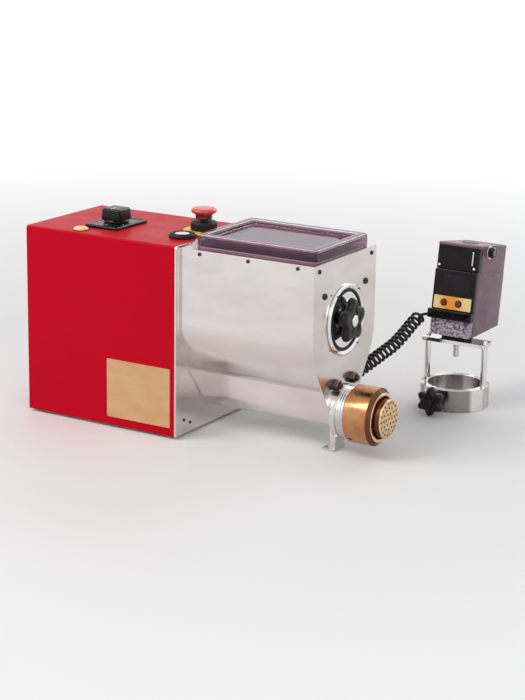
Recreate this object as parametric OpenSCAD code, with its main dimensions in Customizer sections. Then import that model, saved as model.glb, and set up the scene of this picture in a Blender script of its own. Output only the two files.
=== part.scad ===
// Electric pasta maker. A painted casing holds the motor and gears, a stainless
// tank with a clear lid mixes the dough, and a screw in its floor pushes the dough
// through a bronze die. A powered cutter stands beside it on a curly cord.
// Millimetres, +Z up, +X the way the dough leaves, -Y the side with the data plate.

/* [Casing] */
// Length of the painted casing, back to front
casing_l = 280; // [262:1:340]
// Width of the casing
casing_w = 205; // [202:1:260]
// Height of the casing's top above the table
casing_h = 304; // [302:1:360]
// Thickness of the painted sheet
casing_t = 1.5; // [1:0.1:2.5]
// Gap between the table and the casing's lower edge
casing_gap = 4; // [3:0.5:12]
// Radius of the folded top edges
fold_r = 4; // [3:0.5:12]
// Thickness of the stainless front panel
front_t = 3; // [2:0.5:5]
// Thickness of the base plate
base_t = 3; // [2:0.5:6]
// Radius of a rubber foot
foot_r = 11; // [8:1:16]
// Distance of a foot's centre from the casing's ends and sides
foot_in = 26; // [18:1:45]
// Length of one vent slot in the rear panel
slot_l = 50; // [30:1:55]
// Height of one vent slot
slot_h = 4; // [2:0.5:6]
// Distance from one vent slot to the next
slot_pitch = 11; // [8:0.5:12]
// Vent slots in one column
slot_rows = 7; // [3:1:8]
// Length of the data plate
plate_l = 118; // [80:1:130]
// Height of the data plate
plate_h = 94; // [60:1:110]
// Thickness of the data plate
plate_t = 0.8; // [0.5:0.1:1.5]
// Distance of the data plate from the casing's front edge
plate_in = 8; // [5:1:30]
// Height of the data plate's lower edge above the table
plate_z = 17; // [14:1:60]

/* [Tank] */
// Length of the tank, from the front panel to its own front face
tank_l = 235; // [210:1:280]
// Width of the tank
tank_w = 190.6; // [184:0.2:196]
// Height of the tank's rim above the table
rim_z = 302.3; // [301.5:0.1:312]
// Thickness of the tank's sheet
tank_t = 1.5; // [1:0.1:2]
// Thickness of the tank's end plates and its rim frame
end_t = 3; // [2:0.5:4]
// Height of the centre of the round trough
trough_z = 184; // [180:1:192]
// Outer radius of the screw channel under the trough
channel_r = 27; // [26.5:0.5:30]
// How far the rear plate stands out round the trough
rear_flange = 5; // [2:0.5:5.5]
// Width of the rim frame's inward flange at the sides
rim_in = 24; // [18:1:30]
// Thickness of the support leg under the tank
leg_t = 10; // [6:1:16]
// Width of the support leg
leg_w = 28; // [20:1:40]

/* [Lid] */
// Height of the clear lid
lid_h = 20; // [16:1:30]
// Wall of the clear lid
lid_t = 4; // [3:0.5:6]
// Width of the lid's raised border
lid_border = 13; // [9:1:24]
// Depth of the recess in the lid's top
lid_recess = 7; // [3:0.5:9]
// Distance of the lid from the tank's outer sides
lid_in_y = 16; // [12:1:20]
// Distance of the lid from the tank's front face
lid_in_x = 5; // [3:1:12]
// Distance of the lid's rear edge from the front panel
lid_rear = 20; // [19:1:26]
// Distance of the lid hinge's axis from the front panel
hinge_in = 10; // [8:0.5:11]
// Radius of a hinge knuckle
knuckle_r = 4; // [3.5:0.5:4.5]
// Radius of the hinge pin
hinge_pin_r = 2; // [1.5:0.25:2.5]
// Length of the hinge along the rim
hinge_l = 120; // [90:1:150]

/* [Nose] */
// Height of the screw's axis above the table
auger_z = 62; // [60:0.5:64]
// Outer radius of the screw's flight
auger_r = 24; // [20:0.5:24]
// Pitch of the screw's flight
auger_pitch = 40; // [28:1:60]
// Distance from the tank's front face to the ring nut's face
nose_l = 69; // [62:1:90]
// Length of the ring nut
nut_l = 46; // [36:1:48]
// Outer radius of the ring nut
nut_r = 44.5; // [43:0.5:48]
// Width of the chamfer round the ring nut's front
nut_chamfer = 7; // [2:0.5:7]
// Outer radius of the barrel's thread
thread_r = 40; // [36:0.5:40.5]
// Thickness of the ring nut's lip
lip_t = 10; // [6:1:14]
// Radius of the opening in the ring nut's lip
lip_r = 31; // [28:0.5:33]
// Thickness of the die's flange
die_flange_t = 6; // [4:0.5:8]
// How far the die stands out of the ring nut
die_out = 11; // [4:0.5:16]
// Radius of one hole in the die
die_hole_r = 1.9; // [1.2:0.1:2.4]

/* [Controls] */
// Radius of the stop button's mushroom head
stop_r = 20.5; // [16:0.5:21]
// Radius of the yellow disc under the stop button
disc_r = 32; // [26:1:34]
// Travel of the stop button
stop_travel = 3.5; // [2:0.5:4]
// Radius of the start button's black bezel
bezel_r = 21; // [18:0.5:24]
// Radius of the white start button
start_r = 12.5; // [9:0.5:14]
// Travel of the start button
start_travel = 3; // [1.5:0.5:3.5]
// Radius of the amber lamp
lamp_r = 13; // [9:0.5:15]
// Width of the rotary switch's grip
grip_w = 36; // [24:1:40]
// Height of the rotary switch's grip
grip_h = 18; // [12:1:26]
// Length of the switch plate along the casing
switch_l = 62; // [56:1:72]
// Width of the switch plate across the casing
switch_w = 86; // [60:1:100]

/* [Drive] */
// Tooth size of the gears: pitch diameter over the count of teeth
gear_module = 2.5; // [2.45:0.05:2.55]
// Width of a gear
gear_w = 15; // [8:1:18]
// Radius of the mixer shaft and of the screw's shaft
shaft_r = 10; // [8:0.5:11]
// Radius of the motor's body
motor_r = 38; // [30:1:38]
// Length of the motor's body
motor_l = 120; // [90:1:140]
// Radius swept by the mixer's paddles
paddle_reach = 86; // [70:1:87]
// Paddle arms on the mixer shaft
paddle_count = 6; // [3:1:7]
// Radius of the black lobed knob on the tank's front
lobed_r = 35; // [26:0.5:36]
// Radius of the dished flange behind the lobed knob
dish_r = 55; // [50:1:60]

/* [Cutter] */
// Distance of the cutter's axis in front of the casing's back
cutter_x = 554.7; // [540:0.1:640]
// Distance of the cutter's axis to the far side of the machine's middle
cutter_y = 318.6; // [290:0.1:420]
// Outer radius of the clamp ring
ring_r = 56.7; // [55:0.1:64]
// Height of the clamp ring
ring_h = 36; // [30:1:44]
// Radial clearance of the clamp ring over the ring nut
ring_gap = 0.4; // [0.2:0.1:1]
// Radius of a guide rod
rod_r = 5; // [3.5:0.5:5.5]
// Height of the bridge bar's underside above the table
bar_z = 104; // [90:1:125]
// Thickness of the bridge bar
bar_t = 6; // [4:0.5:10]
// Depth of the bridge bar
bar_d = 34; // [30:1:44]
// Radius of the knife shaft
knife_r = 5; // [3:0.5:6]
// Height of the knife shaft's free end above the table
knife_z = 80; // [60:1:84]
// Width of the cutter's motor box
box_w = 74; // [68:1:90]
// Depth of the cutter's motor box
box_d = 110; // [90:1:130]
// Height of the cutter's motor box
box_h = 148; // [140:1:180]
// Wall of the cutter's motor box
box_t = 3; // [2:0.5:4]
// Angle that the motor box leans back, in degrees
box_tilt = 9; // [6:0.5:10]
// Radius of the clamp knob
clamp_r = 24; // [18:0.5:24]
// Length of the clamp knob's hub, from the ring to the star
boss_l = 24; // [6:1:30]
// Radius of the round knob on the side of the motor box
speed_r = 8.5; // [6:0.5:9.5]

/* [Cord] */
// Diameter of the cord itself
cord_d = 5; // [3.6:0.1:5.2]
// Outer diameter of the curls
coil_d = 23.5; // [18:0.5:24]
// Curls along the cord
curls = 36; // [20:1:38]

/* [Hidden] */
$fn = 48;

steel = "lightgray";
bronze = "peru";
black = [0.1, 0.1, 0.11];
red = [0.75, 0.02, 0.13];

// clearances
run_gap = 0.05;     // radial, shaft in a bush
seat_gap = 0.3;     // between pieces that move past each other
slip_gap = 0.1;     // radial, a fixed piece in its hole
over = 1;           // how far a cut runs past the face it opens

// places along X
front_x = casing_l + front_t;
tip_x = front_x + tank_l;
half_w = tank_w / 2;
wall_top = rim_z - end_t;
nut_x = tip_x + nose_l - nut_l;
lip_x = tip_x + nose_l - lip_t;
barrel_end = lip_x - seat_gap - die_flange_t - seat_gap;
barrel_r = auger_r + 0.6;

// gears: teeth, and the axes that follow from them
mixer_teeth = 48;
idler_teeth = 18;
auger_teeth = 30;
pinion_teeth = 15;
tooth_high = 0.8;   // of the module, above and below the pitch circle
tooth_deep = 1.2;
function pitch_r(teeth) = gear_module * teeth / 2;
idler_z = auger_z + pitch_r(auger_teeth) + pitch_r(idler_teeth);
mixer_z = idler_z + pitch_r(idler_teeth) + pitch_r(mixer_teeth);
pinion_y = 60;
pinion_dz = sqrt(pow(pitch_r(mixer_teeth) + pitch_r(pinion_teeth), 2) - pow(pinion_y, 2));
pinion_z = mixer_z - pinion_dz;
gear_x = casing_l - 30;
frame_t = 6;
frame_x = gear_x - 8 - frame_t;
gearhead_l = 38;
bush_r = 17;
bush_flange_r = 22;
bush_flange_t = 8;
journal_r = shaft_r - 2;
sleeve_r = 16;
sleeve_l = 22;
flange_t = 6;
stud_r = 5;
knob_t = 12;

// lid and its hinge
lid_z = rim_z + seat_gap;
lid_x0 = front_x + lid_rear;
lid_x1 = tip_x - lid_in_x;
lid_half = half_w - lid_in_y;
hinge_x = front_x + hinge_in;
hinge_z = rim_z + knuckle_r + 1;
knuckle_split = hinge_l / 6;
leaf_t = 2;

// controls on the casing's top
switch_x = 112;
switch_y = -16;
switch_plate_t = 5;
collar_h = 4;
lamp_x = 90;
lamp_y = -80;
stop_x = casing_l - 28;
stop_y = 22;
stop_disc_t = 2;
stop_base_r = 21;
stop_base_h = 14;
stop_bore = 12;      // how deep the stop button's stem reaches into its base
stop_head_h = 17.4;
stop_neck_r = stop_r - 6;
stop_stem_r = 6;
start_x = casing_l - 30;
start_y = -36;
bezel_h = 7;
start_body_r = start_r + 2.3;
stop_body_r = 11;
gear_room = 3.5;    // between the stop switch and the mixer's gear below it
stop_body_h = casing_h - gear_room - mixer_z - pitch_r(mixer_teeth) - tooth_high * gear_module;
start_body_h = stop_body_h;
lamp_stem_r = 7;
lamp_deep = 16;
switch_deep = 30;
button_in = 0.5;    // the start button's top lies this far below its bezel's rim
button_deep = 5;    // and its lower end this far below the casing's top

// cutter
neck_w = 44;        // the block between the bridge bar and the motor box
neck_in = 2;        // its sides lie this far inside the bar's
box_side = -2;
box_front = -25;
box_z = bar_z + bar_t + 13;
box_low = bar_z + bar_t + 9;
ring_bore = nut_r + ring_gap;
rod_x = (ring_r + ring_bore) / 2;
clamp_z = clamp_r + 0.5;
clamp_screw_r = 5;
cover_t = 8;
strip_z = 40;
strip_h = 21;
strip_t = 1.5;
strip_in = 4;
band_out = 5;
key_r = 4.5;
key_mid = -2;
key_x = 13;
key_out = 3;
key_travel = 2;
speed_y = 42;
speed_h = 8;
speed_in = 11;
speed_boss_t = 1;
speed_stem_r = 2.5;
cutter_motor_r = 12;
cutter_motor_h = 38;
gland_y = 15;
gland_z = 26;
gland_r = 6.5;
gland_l = 12;

// rear panel
inlet_flange_t = 2.5;
inlet_y = 52;
inlet_z = 40;
screw_r = 3.5;
screw_h = 2;

// socket for the cutter's cord, low on the far side of the front panel
socket_y = 87;
socket_z = 44;
socket_t = 4;
socket_r = 13;
plug_l = 26;
plug_r = 9;

// The origin: under the middle of the whole set, cord left out, on the table
x_low = -inlet_flange_t;
x_high = cutter_x + ring_r;
y_low = -casing_w / 2 - plate_t;
y_high = cutter_y + box_front + box_d * cos(box_tilt) + box_h * sin(box_tilt);
origin_x = (x_low + x_high) / 2;
origin_y = (y_low + y_high) / 2;

module place() translate([-origin_x, -origin_y, 0]) children();

// A section drawn as (Y, Z), pulled out along X
module along_x(x0, len) translate([x0, 0, 0]) rotate([90, 0, 90]) linear_extrude(len) children();

module rod_along_x(x0, x1, y, z, r) translate([x0, y, z]) rotate([0, 90, 0]) cylinder(h = x1 - x0, r = r);

// A turned piece on an X axis: the outline is a list of [radius, distance along X]
module turned_x(x0, y, z, outline) translate([x0, y, z]) rotate([0, 90, 0])
    rotate_extrude($fn = 72) polygon(outline);

module rounded_rect(l, w, r) {
    square([l - 2 * r, w], center = true);
    square([l, w - 2 * r], center = true);
    for (sx = [-1, 1], sy = [-1, 1])
        translate([sx * (l / 2 - r), sy * (w / 2 - r)]) circle(r);
}

// ---------------------------------------------------------------- casing

module casing_section(inset, low) {
    w = casing_w / 2 - inset;
    top = casing_h - inset;
    r = fold_r - inset;
    translate([-w, low]) square([2 * w, top - r - low]);
    translate([-(w - r), low]) square([2 * (w - r), top - low]);
    for (s = [-1, 1]) translate([s * (w - r), top - r]) circle(r);
}

module top_hole(x, y, r) translate([x, y, casing_h - casing_t - over])
    cylinder(h = casing_t + 2 * over, r = r);

module casing_shell() place() color(red) difference() {
    along_x(0, casing_l) casing_section(0, casing_gap);
    along_x(-over, casing_l + 2 * over) casing_section(casing_t, casing_gap - over);
    top_hole(switch_x, switch_y, shaft_r);
    top_hole(lamp_x, lamp_y, lamp_stem_r + slip_gap);
    top_hole(stop_x, stop_y, stop_body_r + slip_gap);
    top_hole(start_x, start_y, start_body_r + slip_gap);
}

rear_t = casing_t;
slot_z0 = 150;
module rear_panel() place() color(red) difference() {
    along_x(0, rear_t) casing_section(casing_t + slip_gap, casing_gap);
    for (i = [0 : slot_rows - 1], s = [-1, 1])
        translate([-over, s * 45 - slot_l / 2, slot_z0 + i * slot_pitch])
            cube([rear_t + 2 * over, slot_l, slot_h]);
    translate([-over, inlet_y - inlet_body_w / 2 - slip_gap, inlet_z - inlet_body_h / 2 - slip_gap])
        cube([rear_t + 2 * over, inlet_body_w + 2 * slip_gap, inlet_body_h + 2 * slip_gap]);
}

module front_panel() place() color(steel) difference() {
    along_x(casing_l, front_t) casing_section(0, casing_gap);
    rod_along_x(casing_l - over, front_x + over, 0, mixer_z, bush_r + slip_gap);
    rod_along_x(casing_l - over, front_x + over, 0, auger_z, bush_r + slip_gap);
}

module base_plate() place() color(steel)
    translate([rear_t, -(casing_w / 2 - casing_t - slip_gap), casing_gap])
        cube([casing_l - rear_t, casing_w - 2 * casing_t - 2 * slip_gap, base_t]);

module feet() place() color(black)
    for (x = [foot_in, casing_l - foot_in], s = [-1, 1])
        translate([x, s * (casing_w / 2 - foot_in), 0]) cylinder(h = casing_gap, r = foot_r);

module data_plate() place() color("tan")
    translate([casing_l - plate_in - plate_l / 2, -casing_w / 2, plate_z + plate_h / 2])
        rotate([90, 0, 0]) linear_extrude(plate_t) rounded_rect(plate_l, plate_h, 2);

module rear_screws() place() color("silver")
    for (s = [-1, 1], z = [20, casing_h - 20])
        rod_along_x(-screw_h, 0, s * (casing_w / 2 - 12), z, screw_r);

inlet_body_w = 27;
inlet_body_h = 20;
inlet_deep = 24;
socket_w = 22;
socket_h = 15;
socket_deep = 16;
module power_inlet() place() color(black) difference() {
    union() {
        along_x(-inlet_flange_t, inlet_flange_t) translate([inlet_y, inlet_z]) rounded_rect(50, 26, 4);
        along_x(-inlet_flange_t, inlet_deep) translate([inlet_y, inlet_z])
            square([inlet_body_w, inlet_body_h], center = true);
    }
    difference() {
        along_x(-inlet_flange_t - over, socket_deep + over) translate([inlet_y, inlet_z])
            square([socket_w, socket_h], center = true);
        for (dy = [-7, 0, 7])
            translate([-inlet_flange_t + 3, inlet_y + dy - 1, inlet_z + (dy == 0 ? 2 : -1)])
                cube([socket_deep, 2, 4]);
    }
}

// ---------------------------------------------------------------- tank

// Keyhole section: straight walls, a round trough and the screw's channel below it
module keyhole(inset, top) {
    r = half_w - inset;
    c = channel_r - inset;
    translate([-r, trough_z]) square([2 * r, top - trough_z]);
    translate([0, trough_z]) circle(r, $fn = 96);
    translate([-c, auger_z]) square([2 * c, trough_z - auger_z]);
    translate([0, auger_z]) circle(c);
}

tank_x0 = front_x + end_t;
module tank() place() color(steel) difference() {
    along_x(tank_x0, tank_l - 2 * end_t) keyhole(0, wall_top);
    along_x(tank_x0 - over, tank_l - 2 * end_t + 2 * over) keyhole(tank_t, wall_top + over);
}

// End plate: one outline of the trough's arc, drawn in by straight tangents to a round foot
foot_round = channel_r + 3;
function arc(r, z, from, to, steps) =
    [for (i = [0 : steps]) let (a = from + (to - from) * i / steps) [r * cos(a), z + r * sin(a)]];
module end_outline(big, small, top) {
    lean = asin((big - small) / (trough_z - auger_z));
    polygon(concat([[big, top], [-big, top]],
        arc(big, trough_z, 180, 180 + lean, 12),
        arc(small, auger_z, 180 + lean, 360 - lean, 36),
        arc(big, trough_z, 360 - lean, 360, 12)));
}

module tank_rear_plate() place() color(steel) difference() {
    along_x(front_x, end_t) end_outline(half_w + rear_flange, foot_round, wall_top);
    rod_along_x(front_x - over, tank_x0 + over, 0, mixer_z, bush_r + slip_gap);
    rod_along_x(front_x - over, tank_x0 + over, 0, auger_z, bush_r + slip_gap);
}

module tank_front_plate() place() color(steel) difference() {
    along_x(tip_x - end_t, end_t) end_outline(half_w, foot_round, wall_top);
    rod_along_x(tip_x - end_t - over, tip_x + over, 0, mixer_z, sleeve_r + slip_gap);
    rod_along_x(tip_x - end_t - over, tip_x + over, 0, auger_z, barrel_r);
}

rim_open_x0 = lid_x0 + lid_t + 5;
rim_open_x1 = lid_x1 - lid_t - 5;
rim_skirt = 12;
rim_skirt_t = 1.5;
module tank_rim() place() color(steel) {
    difference() {
        translate([front_x, -half_w, wall_top]) cube([tank_l, tank_w, end_t]);
        translate([rim_open_x0, -half_w + rim_in, wall_top - over])
            cube([rim_open_x1 - rim_open_x0, tank_w - 2 * rim_in, end_t + 2 * over]);
    }
    for (s = [-1, 1])
        translate([tank_x0 + 2, s * (half_w - tank_t - slip_gap - rim_skirt_t / 2) - rim_skirt_t / 2,
            wall_top - rim_skirt])
            cube([tank_l - 2 * end_t - 4, rim_skirt_t, rim_skirt]);
}

rim_screw_first = 37;
rim_screw_step = 85;
rim_screw_in = [for (k = [0 : 2]) rim_screw_first + k * rim_screw_step];
module rim_screws() place() color([0.25, 0.22, 0.22]) {
    for (x = rim_screw_in, s = [-1, 1])
        translate([front_x + x * tank_l / 235, s * half_w, wall_top - 3]) rotate([-90 * s, 0, 0])
            cylinder(h = screw_h, r = screw_r - 0.5);
    for (s = [-1, 1])
        rod_along_x(tip_x, tip_x + screw_h, s * (half_w - 15), wall_top - 7, screw_r);
}

// Leg under the tank's front, cut to the channel's round underside
pad_t = 3;
module support_leg() place() color(steel) difference() {
    union() {
        translate([tip_x - end_t - leg_t, -leg_w / 2, 0]) cube([leg_t, leg_w, auger_z]);
        translate([tip_x - end_t - leg_t - 12, -leg_w / 2 - 4, 0]) cube([leg_t + 12, leg_w + 8, pad_t]);
    }
    rod_along_x(tip_x - tank_l, tip_x + over, 0, auger_z, channel_r);
}

// ---------------------------------------------------------------- lid and hinge

module lid() place() color([0.8, 0.7, 0.75, 0.5]) {
    l = lid_x1 - lid_x0;
    w = 2 * lid_half;
    translate([(lid_x0 + lid_x1) / 2, 0, lid_z]) difference() {
        linear_extrude(lid_h) rounded_rect(l, w, 6);
        translate([0, 0, lid_h - lid_recess])
            linear_extrude(lid_recess + over) rounded_rect(l - 2 * lid_border, w - 2 * lid_border, 5);
        translate([0, 0, -over]) linear_extrude(lid_h - lid_recess - lid_t + over)
            rounded_rect(l - 2 * lid_t, w - 2 * lid_t, 3);
        translate([0, 0, -over]) linear_extrude(lid_h - lid_t + over) difference() {
            rounded_rect(l - 2 * lid_t, w - 2 * lid_t, 3);
            rounded_rect(l - 2 * lid_border + 2 * lid_t, w - 2 * lid_border + 2 * lid_t, 5);
        }
    }
}

module knuckle(y0, y1) translate([hinge_x, y0, hinge_z]) rotate([-90, 0, 0])
    cylinder(h = y1 - y0, r = knuckle_r);
module hinge_bore(half) translate([hinge_x, -half, hinge_z]) rotate([-90, 0, 0])
    cylinder(h = 2 * half, r = hinge_pin_r + run_gap);

module hinge_bracket() place() color(steel) difference() {
    for (s = [-1, 1]) {
        knuckle(s < 0 ? -hinge_l / 2 : knuckle_split, s < 0 ? -knuckle_split : hinge_l / 2);
        translate([front_x + 1, s < 0 ? -hinge_l / 2 : knuckle_split, rim_z])
            cube([hinge_in - 1, hinge_l / 2 - knuckle_split, leaf_t]);
        translate([hinge_x - knuckle_r, s < 0 ? -hinge_l / 2 : knuckle_split, rim_z])
            cube([knuckle_r, hinge_l / 2 - knuckle_split, knuckle_r + 1]);
    }
    hinge_bore(hinge_l);
}

module hinge_pin() place() color("silver")
    translate([hinge_x, -hinge_l / 2 - 1, hinge_z]) rotate([-90, 0, 0])
        cylinder(h = hinge_l + 2, r = hinge_pin_r);

module lid_leaf() place() color(steel) difference() {
    union() {
        knuckle(-knuckle_split + seat_gap, knuckle_split - seat_gap);
        translate([hinge_x, -knuckle_split + seat_gap, hinge_z - leaf_t / 2])
            cube([lid_x0 - hinge_x, 2 * knuckle_split - 2 * seat_gap, leaf_t]);
        translate([lid_x0 - leaf_t, -hinge_l / 2 + 10, lid_z + 1])
            cube([leaf_t, hinge_l - 20, lid_h - 5]);
    }
    hinge_bore(hinge_l);
}

// ---------------------------------------------------------------- nose

collar_r = thread_r + 2;
module barrel() place() color(steel)
    turned_x(tip_x, 0, auger_z, [[barrel_r, 0], [collar_r, 0], [collar_r, 8], [thread_r, 8],
        [thread_r, barrel_end - tip_x], [barrel_r, barrel_end - tip_x]]);

bolt_r = 9;
bolt_h = 9;
bolt_y = 26;
bolt_dz = sqrt(pow(collar_r + bolt_r + 2.5, 2) - pow(bolt_y, 2));
module barrel_bolts() place() color([0.2, 0.17, 0.17])
    for (s = [-1, 1]) {
        rod_along_x(tip_x, tip_x + bolt_h, s * bolt_y, auger_z + bolt_dz, bolt_r);
        rod_along_x(tip_x + bolt_h, tip_x + bolt_h + 4, s * bolt_y, auger_z + bolt_dz, bolt_r / 2);
    }

spanner_hole_r = 3.5;
lip_bevel = 3;
module ring_nut() place() color(bronze) difference() {
    turned_x(nut_x, 0, auger_z, [[thread_r + seat_gap, 0], [nut_r - 1.5, 0], [nut_r, 1.5],
        [nut_r, nut_l - nut_chamfer], [nut_r - nut_chamfer, nut_l], [lip_r + lip_bevel, nut_l],
        [lip_r, nut_l - lip_bevel],
        [lip_r, nut_l - lip_t], [thread_r + seat_gap, nut_l - lip_t]]);
    for (a = [45 : 90 : 315])
        translate([nut_x + 9, 0, auger_z]) rotate([a, 0, 0])
            translate([0, 0, nut_r - 2.5]) cylinder(h = 5, r = spanner_hole_r);
}

die_flange_r = thread_r - 2;
die_boss_r = lip_r - 1;
die_boss_l = lip_t + die_out + seat_gap;
module die() place() color([0.85, 0.6, 0.35]) difference() {
    turned_x(barrel_end + seat_gap, 0, auger_z, [[0, 0], [die_flange_r, 0], [die_flange_r, die_flange_t],
        [die_boss_r, die_flange_t], [die_boss_r, die_flange_t + die_boss_l - 1],
        [die_boss_r - 1, die_flange_t + die_boss_l], [0, die_flange_t + die_boss_l]]);
    for (ring = [[1, 0], [6, 9], [12, 17], [18, 25]], i = [0 : ring[0] - 1])
        rod_along_x(barrel_end - over, lip_x + die_boss_l + over + 1,
            ring[1] * die_boss_r / 30 * cos(i * 360 / ring[0]),
            auger_z + ring[1] * die_boss_r / 30 * sin(i * 360 / ring[0]), die_hole_r);
}

// ---------------------------------------------------------------- drive

// Spur gear on an X axis. phase is the angle of one tooth, from +Y towards +Z
function tooth_point(r, a) = [r * cos(a), r * sin(a)];
module gear(teeth, phase, y, z, bore) {
    r = pitch_r(teeth);
    root = r - tooth_deep * gear_module;
    tip = r + tooth_high * gear_module;
    step = 360 / teeth;
    along_x(gear_x, gear_w) translate([y, z]) difference() {
        polygon([for (i = [0 : teeth - 1])
            for (p = [[root, -0.29], [tip, -0.1], [tip, 0.1], [root, 0.29]])
                tooth_point(p[0], phase + (i + p[1]) * step)]);
        circle(bore);
    }
}
// Phase of the gear that meshes with one at phase, in the direction toward
function mesh_phase(toward, phase, teeth, next) =
    toward + 180 + (toward - phase) * teeth / next + 180 / next;
mixer_phase = -90;
idler_phase = mesh_phase(-90, mixer_phase, mixer_teeth, idler_teeth);
auger_phase = mesh_phase(-90, idler_phase, idler_teeth, auger_teeth);
pinion_phase = mesh_phase(atan2(-pinion_dz, pinion_y), mixer_phase, mixer_teeth, pinion_teeth);

module mixer_gear() place() color("dimgray") gear(mixer_teeth, mixer_phase, 0, mixer_z, shaft_r);
module auger_gear() place() color("dimgray") gear(auger_teeth, auger_phase, 0, auger_z, shaft_r);
axle_r = 6;
module idler_gear() place() color("dimgray")
    gear(idler_teeth, idler_phase, 0, idler_z, axle_r + run_gap);
pinion_shaft_r = 7;
module drive_pinion() place() color("dimgray") {
    gear(pinion_teeth, pinion_phase, pinion_y, pinion_z, pinion_shaft_r - 1);
    rod_along_x(frame_x - 8, gear_x + gear_w, pinion_y, pinion_z, pinion_shaft_r);
}

// Plate that carries the gears' rear ends, on four pillars from the front panel
frame_low = casing_gap + base_t + 8;
frame_up = 30;
frame_high = mixer_z + frame_up;
frame_half = casing_w / 2 - casing_t - 4;
frame_rod_r = 6;
frame_rod_in = [8, 10];  // from the frame's edges, across and up
frame_foot = 20;         // how far its foot reaches back
frame_foot_in = 20;      // from the frame's sides
frame_foot_t = 3;
module drive_frame() place() color("silver") difference() {
    union() {
        translate([frame_x, -frame_half, frame_low])
            cube([frame_t, 2 * frame_half, frame_high - frame_low]);
        for (s = [-1, 1], z = [frame_low + frame_rod_in[1], frame_high - frame_rod_in[1]])
            rod_along_x(frame_x, casing_l, s * (frame_half - frame_rod_in[0]), z, frame_rod_r);
        rod_along_x(frame_x, gear_x + gear_w + 2, 0, idler_z, axle_r);
        translate([frame_x - frame_foot, -frame_half + frame_foot_in, casing_gap + base_t])
            cube([frame_foot + frame_t, 2 * (frame_half - frame_foot_in), frame_foot_t]);
        translate([frame_x, -frame_half + frame_foot_in, casing_gap + base_t])
            cube([frame_t, 2 * (frame_half - frame_foot_in), frame_low - casing_gap - base_t + 1]);
    }
    for (z = [mixer_z, auger_z])
        rod_along_x(frame_x - over, frame_x + frame_t + over, 0, z, shaft_r + run_gap);
    rod_along_x(frame_x - over, frame_x + frame_t + over, pinion_y, pinion_z,
        pinion_shaft_r + run_gap);
}

module bush(z) difference() {
    union() {
        rod_along_x(casing_l - bush_flange_t, casing_l, 0, z, bush_flange_r);
        rod_along_x(casing_l - bush_flange_t, tank_x0, 0, z, bush_r);
    }
    rod_along_x(casing_l - bush_flange_t - over, tank_x0 + over, 0, z, shaft_r + run_gap);
}
module mixer_bush() place() color("goldenrod") bush(mixer_z);
module auger_bush() place() color("goldenrod") bush(auger_z);

module gear_motor() place() color("dimgray") difference() {
    x1 = frame_x - gearhead_l;
    union() {
        along_x(x1, gearhead_l) translate([pinion_y, pinion_z]) rounded_rect(2 * motor_r, 2 * motor_r, 8);
        rod_along_x(x1 - motor_l, x1 + 1, pinion_y, pinion_z, motor_r - 1);
        rod_along_x(x1 - motor_l - 14, x1 - motor_l + 1, pinion_y, pinion_z, motor_r - 5);
    }
    rod_along_x(frame_x - 9, frame_x + over, pinion_y, pinion_z, pinion_shaft_r + run_gap);
}

capacitor_in = 60;
capacitor_r = 20;
capacitor_h = 90;
module capacitor() place() color("whitesmoke")
    translate([capacitor_in, -capacitor_in, casing_gap + base_t]) cylinder(h = capacitor_h, r = capacitor_r);

// Mixer shaft, with a thinner journal that turns in the bracket's sleeve
module mixer_shaft() place() color("silver") {
    rod_along_x(frame_x, tip_x - sleeve_l - seat_gap, 0, mixer_z, shaft_r);
    rod_along_x(tip_x - sleeve_l - 1, tip_x - end_t, 0, mixer_z, journal_r);
}

paddle_x0 = tank_x0 + 24;
paddle_x1 = tip_x - sleeve_l - 20;
paddle_step = (paddle_x1 - paddle_x0) / (paddle_count - 1);
paddle_l = 22;
paddle_h = 26;
paddle_t = 4;
arm_r = 4.5;
hub_r = shaft_r + 5;
module mixer_paddles() place() color("silver") difference() {
    for (i = [0 : paddle_count - 1]) {
        s = i % 2 == 0 ? 1 : -1;
        x = paddle_x0 + i * paddle_step;
        rod_along_x(x - 8, x + 8, 0, mixer_z, hub_r);
        translate([x, 0, mixer_z]) rotate([-90 * s, 0, 0]) cylinder(h = paddle_reach - 8, r = arm_r);
        translate([x, s * (paddle_reach - paddle_h / 2), mixer_z]) rotate([0, 35, 0])
            cube([paddle_l, paddle_h - 2, paddle_t], center = true);
    }
    rod_along_x(frame_x, tip_x, 0, mixer_z, shaft_r);
}

// Dough screw: one helical flight on a solid core, on the driven shaft. A section of
// the flight is a rectangle, carried round and along; its faces are triangles
auger_x0 = tank_x0 + 2;
auger_x1 = barrel_end - 6;
core_r = shaft_r + 1;
flight_t = 6;
flight_steps = 24;
flight_l = auger_x1 - auger_x0 - flight_t;
flight_n = ceil(flight_l / auger_pitch * flight_steps);
flight_points = [for (i = [0 : flight_n])
    let (x = auger_x0 + flight_l * i / flight_n, a = 360 * flight_l * i / flight_n / auger_pitch)
    for (c = [[core_r - 2, 0], [auger_r, 0], [auger_r, flight_t], [core_r - 2, flight_t]])
        [x + c[1], c[0] * sin(a), auger_z + c[0] * cos(a)]];
flight_faces = concat([[0, 2, 3], [0, 1, 2]],
    [for (i = [0 : flight_n - 1], k = [0 : 3], half = [0, 1])
        let (a = 4 * i + k, b = 4 * i + (k + 1) % 4)
        half == 0 ? [a, a + 4, b] : [b, a + 4, b + 4]],
    [let (o = 4 * flight_n) [o, o + 2, o + 1], let (o = 4 * flight_n) [o, o + 3, o + 2]]);
module auger() place() color("lightgray") {
    rod_along_x(frame_x, auger_x0 + 4, 0, auger_z, shaft_r);
    rod_along_x(auger_x0, auger_x1, 0, auger_z, core_r);
    polyhedron(points = flight_points, faces = flight_faces);
}

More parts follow.
